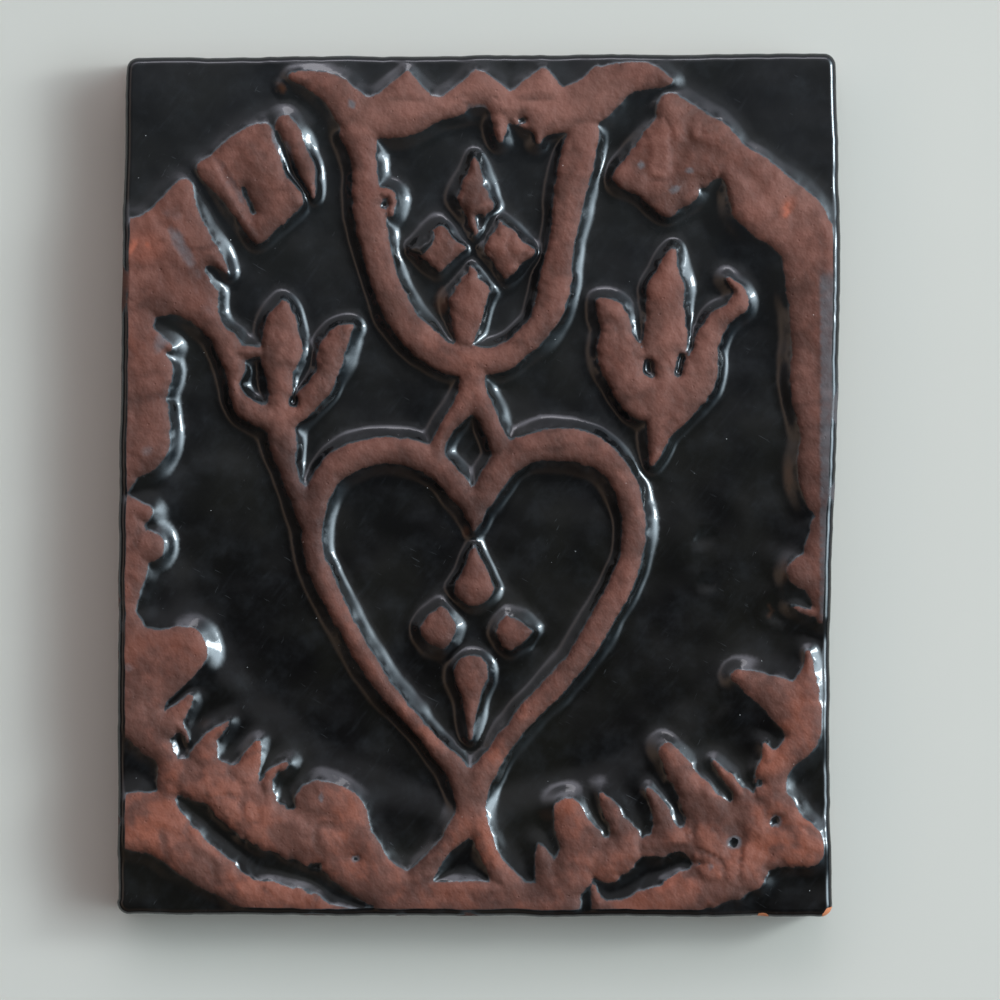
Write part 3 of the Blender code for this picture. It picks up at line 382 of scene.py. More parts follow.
class Roll(Enum):
    """Rolling noises of the slab: wavelength in millimetres, and the seed of the random values."""

    DISH_EDGE = (9.0, 11)
    GROUND = (7.0, 12)
    GROUND_RIPPLE = (2.6, 13)
    CLAY_TOP = (4.5, 14)
    BIG_LUMPS = (3.6, 15)
    LUMPS = (1.9, 16)
    SMALL_LUMPS = (1.2, 17)
    SLOPE = (6.0, 18)
    PULL = (5.0, 19)
    DRAG = (5.0, 20)
    OUTLINE = (2.4, 21)
    NICKS = (1.1, 22)
    CRUMBS = (0.55, 23)
    GRIT = (0.6, 24)
    DISH_NICKS = (3.5, 25)
    DISH_SLOPE = (14.0, 26)
    RIM = (5.0, 31)
    RIM_NICKS = (1.3, 32)
    RUN = (6.0, 41)
    RUN_DRIPS = (1.9, 42)
    WALL = (2.2, 43)

    def at(self, x: Values, y: Values) -> Values:
        """Values from -1 to 1 at places in metres."""
        wavelength, seed = self.value
        return smooth_noise(x, y, wavelength * MM, seed)


def smooth_step(value: Values, low: float, high: float) -> Values:
    """Rise smoothly from 0 at low to 1 at high."""
    share = np.clip((value - low) / (high - low), 0, 1)
    return share * share * (3 - 2 * share)


def blurred(grid: Values, spread: float) -> Values:
    """Soften a grid of values.

    Args:
        grid: Values in rows and columns.
        spread: Standard deviation of the softening, in grid steps.

    Returns:
        A grid of the same size.
    """
    reach = int(math.ceil(2.5 * spread))
    weights = np.exp(-0.5 * (np.arange(-reach, reach + 1) / spread) ** 2)
    weights /= weights.sum()
    for axis in (0, 1):
        padded = np.pad(grid, [(reach, reach) if axis == i else (0, 0) for i in (0, 1)], mode="edge")
        places = np.arange(grid.shape[axis])
        grid = sum(weight * padded.take(places + k, axis=axis) for k, weight in enumerate(weights))
    return grid


def grid_places(ring: Values, step: float, row_step: float) -> Values:
    """Lay a regular grid over the box of a ring.

    Args:
        ring: Places across and up.
        step: Distance between columns, in metres.
        row_step: Distance between rows, in metres.

    Returns:
        Places across and up, in rows and columns.
    """
    low = ring.min(axis=0)
    high = ring.max(axis=0)
    across, up = np.meshgrid(np.arange(low[0], high[0], step), np.arange(low[1], high[1], row_step))
    return np.stack((across, up), axis=-1)


def triangulated(places: Values, rim: int) -> list[list[int]]:
    """Triangulate places inside a closed rim.

    Args:
        places: Places across and up, of which the first ones are the rim in order.
        rim: How many places the rim has.

    Returns:
        The triangles, by the numbers of their places.
    """
    edges = [(i, (i + 1) % rim) for i in range(rim)]
    result = delaunay_2d_cdt([Vector(place) for place in places.tolist()], edges, [], 1, 1e-9)
    source = [numbers[0] for numbers in result[3]]
    return [[source[k] for k in triangle] for triangle in result[2]]


@dataclass
class Drawing:
    """The figures of the relief as distances over the tile.

    Every distance is negative inside a shape and is measured in metres.
    """

    unit: float
    path_steps: int = 6
    figure_blend: float = 0.0005
    lozenge_round: float = 0.00015
    reach: float = 0.0040
    spot_softness: float = 0.75

    def placed(self, knots: Knots) -> Values:
        """Knots of the sheet in metres."""
        return np.array(knots, dtype=float) * self.unit

    def smooth_path(self, knots: Knots, closed: bool = False) -> Values:
        """Lead a smooth curve through all the knots.

        Args:
            knots: Places, and half widths where there are any, in sheet units.
            closed: Whether the last knot joins the first.

        Returns:
            Points of the curve in metres.
        """
        points = self.placed(knots)
        count = len(points)
        if count == 2:
            return points
        numbers = np.arange(count if closed else count - 1)
        before, here, there, after = (
            points[(numbers + k) % count if closed else np.clip(numbers + k, 0, count - 1)]
            for k in (-1, 0, 1, 2))
        shares = np.arange(self.path_steps)[:, None] / self.path_steps
        spans = [here[i] + 0.5 * shares * (there[i] - before[i] + shares * (
            2 * before[i] - 5 * here[i] + 4 * there[i] - after[i] + shares * (
                3 * here[i] - before[i] - 3 * there[i] + after[i]))) for i in numbers]
        path = np.vstack(spans)
        return path if closed else np.vstack((path, points[-1:]))

    @staticmethod
    def nearest(x: Values, y: Values, start: Values, end: Values) -> Values:
        """Find the point of a straight piece that lies nearest to each place.

        Args:
            x: Across, in metres.
            y: Up, in metres.
            start: First point of the piece, with its half width where it has one.
            end: Last point of the piece.

        Returns:
            The nearest points, with their half widths.
        """
        way = end - start
        length = max(float(way[0] ** 2 + way[1] ** 2), 1e-18)
        share = np.clip(((x - start[0]) * way[0] + (y - start[1]) * way[1]) / length, 0, 1)
        return start + share[:, None] * way

    def distance(self, x: Values, y: Values, outline: Values, closed: bool = False) -> Values:
        """Distance to a stroke or to a closed outline.

        Args:
            x: Across, in metres.
            y: Up, in metres.
            outline: Points of the shape, with half widths where it is a stroke.
            closed: Whether the last point joins the first.

        Returns:
            One distance for each place, negative inside the shape.
        """
        best = np.full(x.shape, np.inf)
        inside = np.zeros(x.shape, dtype=bool)
        pieces = list(zip(outline, np.roll(outline, -1, axis=0)))
        for start, end in pieces if closed else pieces[:-1]:
            middle = self.nearest(x, y, start, end)
            half_width = middle[:, 2] if len(start) > 2 else 0.0
            best = np.minimum(best, np.hypot(x - middle[:, 0], y - middle[:, 1]) - half_width)
            if closed and start[1] != end[1]:
                crossing = start[0] + (y - start[1]) * (end[0] - start[0]) / (end[1] - start[1])
                inside ^= ((start[1] > y) != (end[1] > y)) & (x < crossing)
        return np.where(inside, -best, best)

    def near(self, x: Values, y: Values, shape: Values) -> Values:
        """Find the places within reach of a shape.

        Args:
            x: Across, in metres.
            y: Up, in metres.
            shape: Points of the shape, with half widths where it has them.

        Returns:
            Whether each place is near.
        """
        margin = self.reach + (shape[:, 2].max() if shape.shape[1] > 2 else 0.0)
        low = shape.min(axis=0) - margin
        high = shape.max(axis=0) + margin
        return (x > low[0]) & (x < high[0]) & (y > low[1]) & (y < high[1])

    def blended(self, first: Values, second: Values) -> Values:
        """Union of two distances with a small fillet where the figures meet."""
        share = np.clip(0.5 + 0.5 * (second - first) / self.figure_blend, 0, 1)
        return second + share * (first - second) - self.figure_blend * share * (1 - share)

    def figure_distance(self, x: Values, y: Values) -> Values:
        """Distance to the raised figures, at most the reach.

        Args:
            x: Across, in metres.
            y: Up, in metres.

        Returns:
            One distance for each place.
        """
        best = np.full(x.shape, self.reach)
        strokes = (CROWN + CUP + STEM + HEART + DROPS + LEFT_TULIP + RIGHT_TULIP + LEFT_BORDER
                   + NARROW_BAR + LEFT_SWAG + FOOT + RISING_SUN + RIGHT_BORDER)
        shapes = [(self.smooth_path(knots), False, 0.0) for knots in strokes]
        shapes += [(self.placed(knots), True, self.lozenge_round) for knots in (CROWN_POINTS, *LOZENGES)]
        shapes += [(self.smooth_path(knots, True), True, 0.0)
                   for knots in (LEFT_SHOULDER, WIDE_BAR, RIGHT_BLOCK)]
        for outline, closed, rounding in shapes:
            near = self.near(x, y, outline)
            drawn = self.distance(x[near], y[near], outline, closed) - rounding
            best[near] = self.blended(best[near], drawn)
        for path in map(self.smooth_path, CUTS):
            near = self.near(x, y, path)
            best[near] = np.maximum(best[near], -self.distance(x[near], y[near], path))
        return best

    def marked(self, kind: Mark, x: Values, y: Values) -> Values:
        """Strength of one kind of mark.

        Args:
            kind: Which marks to add up.
            x: Across, in metres.
            y: Up, in metres.

        Returns:
            The summed strength at each place, with soft edges.
        """
        total = np.zeros(x.shape)
        for row in SPOTS[kind]:
            spot = Spot(*row)
            turn = math.radians(spot.turn)
            dx = x / self.unit - spot.x
            dy = y / self.unit - spot.y
            along = (dx * math.cos(turn) + dy * math.sin(turn)) / spot.along
            across = (dy * math.cos(turn) - dx * math.sin(turn)) / spot.across
            total += spot.strength * np.clip(1 - along ** 2 - across ** 2, 0, 1) ** self.spot_softness
        return total


@dataclass
class Slab:
    """Sizes of the clay slab and the course of its edges."""

    unit: float
    top: float
    figure_height: float = 0.0026
    rim_round: float = 0.0012
    top_corner: float = 0.0006
    back_chamfer: float = 0.0008
    back_corner: float = 0.0007
    right_edge_wave: float = 0.00065
    left_edge_bow: float = 0.0003
    edge_step: float = 0.0005
    corner_steps: int = 6
    edge_wobble: float = 0.00010
    nick_share: float = 0.4
    corners: tuple[tuple[float, float], ...] = ((-51.5, -61.4), (51.0, -61.7), (51.4, 62.0), (-50.3, 61.4))

    def side_bow(self, side: int, share: Values) -> Values:
        """How far a side stands out from the straight line between its corners.

        Args:
            side: Number of the side, from the front one anticlockwise.
            share: Shares of the way along it.

        Returns:
            One distance for each share, in metres.
        """
        if side == 1:
            return -self.right_edge_wave * np.sin(2 * math.pi * share)
        if side == 3:
            return self.left_edge_bow * np.sin(math.pi * share)
        return np.zeros_like(share)

    def edge(self, inset: float, radius: float) -> Values:
        """Closed ring of points, anticlockwise, always in the same number and order.

        Args:
            inset: How far the ring lies inside the outline, in metres.
            radius: Radius of its corners, in metres.

        Returns:
            Places across and up.
        """
        corners = np.array(self.corners) * self.unit
        centres = corners + np.array([(1, 1), (-1, 1), (-1, -1), (1, -1)]) * (inset + radius)
        points = []
        for number in range(4):
            after = (number + 1) % 4
            turn = math.pi * (1 + 0.5 * number) + 0.5 * math.pi * np.linspace(0, 1, self.corner_steps + 1)
            points.append(centres[number] + radius * np.column_stack((np.cos(turn), np.sin(turn))))
            out = np.array((math.cos(turn[-1]), math.sin(turn[-1])))
            start = centres[number] + radius * out
            end = centres[after] + radius * out
            count = int(round(np.hypot(*(corners[after] - corners[number])) / self.edge_step))
            share = np.linspace(0, 1, count + 1)[1:-1]
            bow = self.side_bow(number, share)
            points.append(start + share[:, None] * (end - start) + bow[:, None] * out)
        ring = np.vstack(points)
        return ring + self.wobble(len(ring))[:, None] * self.outward(ring)

    def wobble(self, count: int) -> Values:
        """Small uneven steps of the hand-cut edge, the same for every ring."""
        course = self.course(count)
        return self.edge_wobble * (Roll.RIM.at(*course) + self.nick_share * Roll.RIM_NICKS.at(*course))

    def course(self, count: int) -> tuple[Values, Values]:
        """Places along the edge, as x and y for noises that run with it."""
        return np.arange(count) * self.edge_step, np.zeros(count)

    @staticmethod
    def outward(ring: Values) -> Values:
        """Direction out of the slab at each point of a ring.

        Args:
            ring: Places across and up.

        Returns:
            Directions of length 1.
        """
        way = np.roll(ring, -1, axis=0) - np.roll(ring, 1, axis=0)
        normal = np.column_stack((way[:, 1], -way[:, 0]))
        return normal / np.hypot(normal[:, 0], normal[:, 1])[:, None]


@dataclass
class HeightMap:
    """Heights of the face on a fine grid, with pooled glaze and worn crests."""

    slab: Slab
    drawing: Drawing
    step: float = 0.0002
    margin: float = 0.0020
    glaze_depth: float = 0.0004
    slope_width: float = 0.0018
    slope_change: float = 0.30
    outer_widening: float = 0.35
    crest_start: float = -0.52
    crest_end: float = -0.02
    foot_start: float = 0.44
    foot_end: float = 1.16
    tail_end: float = 1.80
    tail_share: float = 0.10
    profile_points: int = 240
    edge_roll: float = 0.00014
    nick_reach: float = 0.9 * MM
    nick_share: float = 0.8
    crumb_share: float = 0.5
    rough_edges: float = 2.0
    band_rise: float = 0.0012
    dish_slope: float = 0.0056
    dish_wander: float = 0.0009
    glaze_pool: float = 0.00037
    pool_range: tuple[float, float] = (0.25 * MM, 1.1 * MM)
    clay_wear: float = 0.00016
    clay_round: float = 0.00042
    clay_round_reach: float = 0.0016
    clay_roll: float = 0.00008
    lump_height: float = 0.00011
    rough_lump_height: float = 0.00024
    lump_drift: float = 1.5 * MM
    ground_roll: float = 0.00020
    crease_share: float = 0.4
    mark_height: float = 0.1 * MM
    press_limit: float = 1.5
    light_from: tuple[float, float] = (0.40, 0.92)
    shaded_side_range: tuple[float, float] = (-0.3, 0.7)

    def __post_init__(self) -> None:
        """Work out the distances and heights on the grid."""
        ring = self.slab.edge(0.0, self.slab.top_corner + self.slab.rim_round)
        low = ring.min(axis=0) - self.margin
        high = ring.max(axis=0) + self.margin
        self.xs = np.arange(low[0], high[0], self.step)
        self.ys = np.arange(low[1], high[1], self.step)
        across, up = np.meshgrid(self.xs, self.ys)
        x = across.ravel()
        y = up.ravel()
        self.rough = self.drawing.marked(Mark.ROUGH, x, y)
        drawn = self.drawing.figure_distance(x, y)
        crest = 1 - smooth_step(drawn, 0.0, self.nick_reach)
        ragged = Roll.OUTLINE.at(x, y) + crest * (
            self.nick_share * Roll.NICKS.at(x, y) + self.crumb_share * Roll.CRUMBS.at(x, y))
        distance = drawn + self.edge_roll * ragged * (1 + self.rough_edges * self.rough)
        self.distance = distance.reshape(across.shape)
        creased = self.crease_share + (1 - self.crease_share) * np.minimum(self.rough, 1)
        self.lumps = (1 - (1 - self.clay_lumps(x, y)) * creased).reshape(across.shape)
        raw = self.raw_height(x, y).reshape(across.shape)
        pooled = smooth_step(self.distance, *self.pool_range)
        self.height = (blurred(raw, self.clay_wear / self.step) * (1 - pooled)
                       + blurred(raw, self.glaze_pool / self.step) * pooled)
        self.slope_up, self.slope_across = np.gradient(self.height, self.step)
        up, across = np.gradient(self.distance, self.step)
        # Sides of the figures that face away from the light: the clay's edges get painted shade there and
        # the glaze's milky edge loses its painted sheen.
        self.shaded_side = smooth_step(-(self.light_from[0] * across + self.light_from[1] * up), *self.shaded_side_range)

    def profile(self, share: Values) -> Values:
        """Fall of the slope, rounded at both ends.

        Args:
            share: Distances from the figure, in widths of the slope.

        Returns:
            Heights, from 1 on the figure to 0 at the slope's foot.
        """
        places = np.linspace(self.crest_start, self.tail_end, self.profile_points)
        foot = 1 - smooth_step(places, self.foot_start, self.foot_end)
        tail = 1 - smooth_step(places, self.foot_start, self.tail_end)
        steepness = smooth_step(places, self.crest_start, self.crest_end)
        steepness *= (1 - self.tail_share) * foot + self.tail_share * tail
        return np.interp(share, places, 1 - np.cumsum(steepness) / steepness.sum())

    def clay_lumps(self, x: Values, y: Values) -> Values:
        """Lumps and creases of the pressed clay.

        Args:
            x: Across, in metres.
            y: Up, in metres.

        Returns:
            Values near 1 on the lumps and near 0 in the creases.
        """
        pull = self.lump_drift * Roll.PULL.at(x, y)
        drag = self.lump_drift * Roll.DRAG.at(x, y)
        big = np.abs(Roll.BIG_LUMPS.at(x + pull, y + drag))
        middling = np.abs(Roll.LUMPS.at(x + drag, y + pull))
        small = Roll.SMALL_LUMPS.at(x, y) + 0.5 * Roll.GRIT.at(x, y)
        lumps = 1.15 * smooth_step(big, -0.2, 0.5)
        return lumps * smooth_step(middling + 0.6 * big, -0.35, 0.6) + 0.16 * small

    def raw_height(self, x: Values, y: Values) -> Values:
        """Height of the face before the glaze pools.

        Args:
            x: Across, in metres.
            y: Up, in metres.

        Returns:
            One height for each place.
        """
        dish = self.drawing.smooth_path(DISH, True)
        wander = self.dish_wander * (Roll.DISH_EDGE.at(x, y) + 0.6 * Roll.DISH_NICKS.at(x, y))
        reach = 0.5 * self.dish_slope * (1 + self.slope_change * Roll.DISH_SLOPE.at(x, y))
        step = smooth_step((self.drawing.distance(x, y, dish, True) + wander) / reach, -1, 1)
        floor = self.slab.top - self.slab.figure_height + self.glaze_depth
        ground = floor + (self.band_rise - self.glaze_depth) * step
        ground += self.ground_roll * (Roll.GROUND.at(x, y) + 0.2 * Roll.GROUND_RIPPLE.at(x, y))
        ground += self.mark_height * self.drawing.marked(Mark.DENT, x, y)
        top = self.slab.top - self.clay_roll + self.clay_roll * Roll.CLAY_TOP.at(x, y)
        top += (self.lump_height + self.rough_lump_height * self.rough) * (self.lumps.ravel() - 1)
        top -= self.clay_round * np.exp(np.minimum(self.distance.ravel(), 0.0) / self.clay_round_reach)
        top += self.mark_height * np.minimum(self.drawing.marked(Mark.PRESS, x, y), self.press_limit)
        width = self.slope_width * (1 + self.slope_change * Roll.SLOPE.at(x, y))
        width *= 1 + self.outer_widening * step
        return ground + (top - ground) * self.profile(self.distance.ravel() / width)

    def sample(self, grid: Values, x: Values, y: Values) -> Values:
        """Read one of the grids between its points.

        Args:
            grid: Values in rows and columns.
            x: Across, in metres.
            y: Up, in metres.

        Returns:
            One value for each place.
        """
        u = np.clip((x - self.xs[0]) / self.step, 0, len(self.xs) - 1.001)
        v = np.clip((y - self.ys[0]) / self.step, 0, len(self.ys) - 1.001)
        column = u.astype(int)
        row = v.astype(int)
        return mixed_corners(grid, column, row, u - column, v - row)

    def normals(self, x: Values, y: Values) -> Values:
        """Directions out of the surface at places on the face.

        Args:
            x: Across, in metres.
            y: Up, in metres.

        Returns:
            Directions of length 1.
        """
        slopes = [-self.sample(slope, x, y) for slope in (self.slope_across, self.slope_up)]
        way = np.column_stack((*slopes, np.ones(len(x))))
        return way / np.linalg.norm(way, axis=1)[:, None]

    def crossings(self, level: float) -> Values:
        """Places where the figure distance passes a level between neighbours on the grid.

        Args:
            level: The distance, in metres.

        Returns:
            Places across and up.
        """
        found = []
        for axis in (0, 1):
            first = self.distance[:-1] if axis == 0 else self.distance[:, :-1]
            second = self.distance[1:] if axis == 0 else self.distance[:, 1:]
            rows, columns = np.nonzero((first > level) != (second > level))
            begin = first[rows, columns]
            share = (level - begin) / (second[rows, columns] - begin)
            x = self.xs[columns] + (share * self.step if axis == 1 else 0.0)
            y = self.ys[rows] + (share * self.step if axis == 0 else 0.0)
            found.append(np.column_stack((x, y)))
        return np.vstack(found)


@dataclass
class PointBed:
    """Places for the points of a surface, kept apart from each other."""

    cell: float = 0.0005
    places: list[tuple[float, float]] = field(default_factory=list)
    cells: dict[tuple[int, int], list[int]] = field(default_factory=dict)

    def add(self, candidates: Values, own: float, others: float) -> None:
        """Add the places that stand clear.

        Args:
            candidates: Places across and up, in metres.
            own: Least distance between places added in this call.
            others: Least distance to places that were there before.
        """
        first_new = len(self.places)
        span = int(math.ceil(max(own, others) / self.cell))
        for x, y in candidates.tolist():
            column = math.floor(x / self.cell)
            row = math.floor(y / self.cell)
            near = [k for i in range(column - span, column + span + 1)
                    for j in range(row - span, row + span + 1) for k in self.cells.get((i, j), ())]
            if all((x - self.places[k][0]) ** 2 + (y - self.places[k][1]) ** 2
                   >= (own if k >= first_new else others) ** 2 for k in near):
                self.cells.setdefault((column, row), []).append(len(self.places))
                self.places.append((x, y))


@dataclass
class Shell:
    """Growing lists of points, faces and surface values of the tile's closed mesh."""

    points: list[Values] = field(default_factory=list)
    normals: list[Values] = field(default_factory=list)
    values: dict[str, list[Values]] = field(default_factory=dict)
    faces: list[tuple[int, ...]] = field(default_factory=list)
    count: int = 0

    def add_points(self, points: Values, normals: Values, values: dict[str, Values]) -> int:
        """Add points with their values.

        Args:
            points: Places in the tile's frame.
            normals: Directions out of the surface, or zeros to leave them to the faces.
            values: Surface values by name, one for each point.

        Returns:
            The number of the first new point.
        """
        first = self.count
        self.points.append(points)
        self.normals.append(normals)
        for name, numbers in values.items():
            self.values.setdefault(name, []).append(numbers)
        self.count += len(points)
        return first

    def add_band(self, above: int, below: int, count: int) -> None:
        """Join two closed rings of points with four-sided faces."""
        rows = [(i, (i + 1) % count) for i in range(count)]
        self.faces += [(above + i, below + i, below + j, above + j) for i, j in rows]

    def mesh(self, name: str) -> bpy.types.Mesh:
        """Make the mesh with its surface values and smooth directions.

        Args:
            name: The mesh's name.

        Returns:
            The mesh.
        """
        mesh = bpy.data.meshes.new(name)
        mesh.from_pydata(np.vstack(self.points).tolist(), [], self.faces)
        for attribute, parts in self.values.items():
            layer = mesh.attributes.new(attribute, "FLOAT", "POINT")
            layer.data.foreach_set("value", np.concatenate(parts).astype(np.float32))
        mesh.shade_smooth()
        mesh.validate()
        mesh.normals_split_custom_set_from_vertices(np.vstack(self.normals).tolist())
        return mesh


class Channel:
    """A number, colour or vector in a material, on which arithmetic adds nodes."""

    def __init__(self, bench: "Bench", socket: bpy.types.NodeSocket) -> None:
        """Wrap one output socket."""
        self.bench = bench
        self.socket = socket

    def _math(self, operation: str, *values: Any) -> "Channel":
        """Add one Math node."""
        return self.bench.add("ShaderNodeMath", {"operation": operation}, dict(enumerate(values)))

    def __add__(self, other: Any) -> "Channel":
        """Sum with a number or channel."""
        return self._math("ADD", self, other)

    def __sub__(self, other: Any) -> "Channel":
        """Difference from a number or channel."""
        return self._math("SUBTRACT", self, other)

    def __rsub__(self, other: Any) -> "Channel":
        """Difference of a number from this channel."""
        return self._math("SUBTRACT", other, self)

    def __mul__(self, other: Any) -> "Channel":
        """Product with a number or channel."""
        return self._math("MULTIPLY", self, other)

    def __pow__(self, other: Any) -> "Channel":
        """Power of this channel."""
        return self._math("POWER", self, other)

    __radd__ = __add__
    __rmul__ = __mul__

    def times_plus(self, factor: float, added: float) -> "Channel":
        """Product with a number, plus another, in one node."""
        return self._math("MULTIPLY_ADD", self, factor, added)

    def larger(self, other: Any) -> "Channel":
        """The larger of this and another value."""
        return self._math("MAXIMUM", self, other)

    def step(self, low: float, high: float) -> "Channel":
        """Rise smoothly from 0 at low to 1 at high."""
        settings = {"interpolation_type": "SMOOTHSTEP"}
        return self.bench.add("ShaderNodeMapRange", settings, {0: self, 1: low, 2: high})

    def between(self, first: Any, second: Any) -> "Channel":
        """Go from the first number to the second as this channel goes from 0 to 1."""
        return self * (second - first) + first

    def colours(self, first: Any, second: Any) -> "Channel":
        """Go from the first colour to the second as this channel goes from 0 to 1."""
        ends = [end if isinstance(end, Channel) else (*end, 1.0) for end in (first, second)]
        return self.bench.add("ShaderNodeMix", {"data_type": "RGBA"}, {0: self, 6: ends[0], 7: ends[1]}, 2)


class Bench:
    """The nodes of one material or sky."""

    def __init__(self, holder: Union[bpy.types.Material, bpy.types.World]) -> None:
        """Clear the nodes of a material or sky and start afresh.

        Args:
            holder: The material or sky.
        """
        holder.use_nodes = True
        self.tree = holder.node_tree
        self.tree.nodes.clear()

    def add(self, kind: str, settings: Optional[Entries] = None, inputs: Optional[Entries] = None,
            output: Union[int, str] = 0) -> Channel:
        """Add one node.

        Args:
            kind: The node's type.
            settings: Properties of the node, which are set first.
            inputs: Values or channels for its sockets, by number or name.
            output: The socket to pass on.

        Returns:
            The chosen output.
        """
        node = self.tree.nodes.new(kind)
        for name, value in (settings or {}).items():
            setattr(node, name, value)
        for key, value in (inputs or {}).items():
            if isinstance(value, Channel):
                self.tree.links.new(value.socket, node.inputs[key])
            else:
                node.inputs[key].default_value = value
        return Channel(self, node.outputs[output])

    def value(self, name: str) -> Channel:
        """Read one of the mesh's surface values."""
        return self.add("ShaderNodeAttribute", {"attribute_name": name}, output="Fac")

    def place(self) -> Channel:
        """The place on the object in millimetres."""
        here = self.add("ShaderNodeTexCoord", output="Object")
        return self.vector("SCALE", {0: here, "Scale": 1 / MM})

    def vector(self, operation: str, inputs: Entries, output: Union[int, str] = 0) -> Channel:
        """Add one Vector Math node."""
        return self.add("ShaderNodeVectorMath", {"operation": operation}, inputs, output)

    def noise(self, place: Channel, size: float, detail: float = 2.0, roughness: float = 0.5) -> Channel:
        """Noise from 0 to 1 whose features are about size millimetres across."""
        inputs = {"Vector": place, "Scale": 1 / size, "Detail": detail, "Roughness": roughness}
        return self.add("ShaderNodeTexNoise", None, inputs)

    def streaked(self, place: Channel, turn: float, stretch: float) -> Channel:
        """Places drawn together along one direction, so that a pattern on them runs in streaks."""
        inputs = {0: place, "Rotation": (0, 0, turn), "Scale": (stretch, 1, 1)}
        return self.add("ShaderNodeMapping", {"vector_type": "TEXTURE"}, inputs)

    def cells(self, place: Channel, size: float) -> Channel:
        """Distance to the nearest of scattered points about size millimetres apart."""
        return self.add("ShaderNodeTexVoronoi", None, {"Vector": place, "Scale": 1 / size})

    def speck_clouds(self, place: Channel, size: float, dot: tuple[float, float], cloud: float,
             gaps: tuple[float, float]) -> Channel:
        """Specks in loose clouds, faded over the dot's shares of their spacing and the gaps' noise; used for
        painted glints.
        """
        return (1 - self.cells(place, size).step(*dot)) * self.noise(place, cloud).step(*gaps)

    def along(self, vector: Channel, towards: tuple[float, float, float]) -> Channel:
        """How much of a vector points towards a direction."""
        return self.vector("DOT_PRODUCT", {0: vector, 1: Vector(towards).normalized()}, "Value")

    def shader(self, kind: str, **sockets: Any) -> Channel:
        """Add a shader, its sockets named with underscores for spaces."""
        return self.add(kind, None, {name.replace("_", " "): value for name, value in sockets.items()})

    def coat(self, relief: Channel, **sockets: Any) -> Channel:
        """Add a Principled shader whose surface is raised by a relief in millimetres."""
        bump = self.add("ShaderNodeBump", None, {"Distance": MM, "Height": relief})
        return self.shader("ShaderNodeBsdfPrincipled", Normal=bump, **sockets)

    def mixed(self, share: Channel, first: Channel, second: Channel) -> Channel:
        """Go from the first shader to the second as a share goes from 0 to 1."""
        return self.add("ShaderNodeMixShader", None, {0: share, 1: first, 2: second})

    def show(self, kind: str, surface: Channel) -> None:
        """Lead a shader to the output."""
        self.tree.links.new(surface.socket, self.tree.nodes.new(kind).inputs["Surface"])


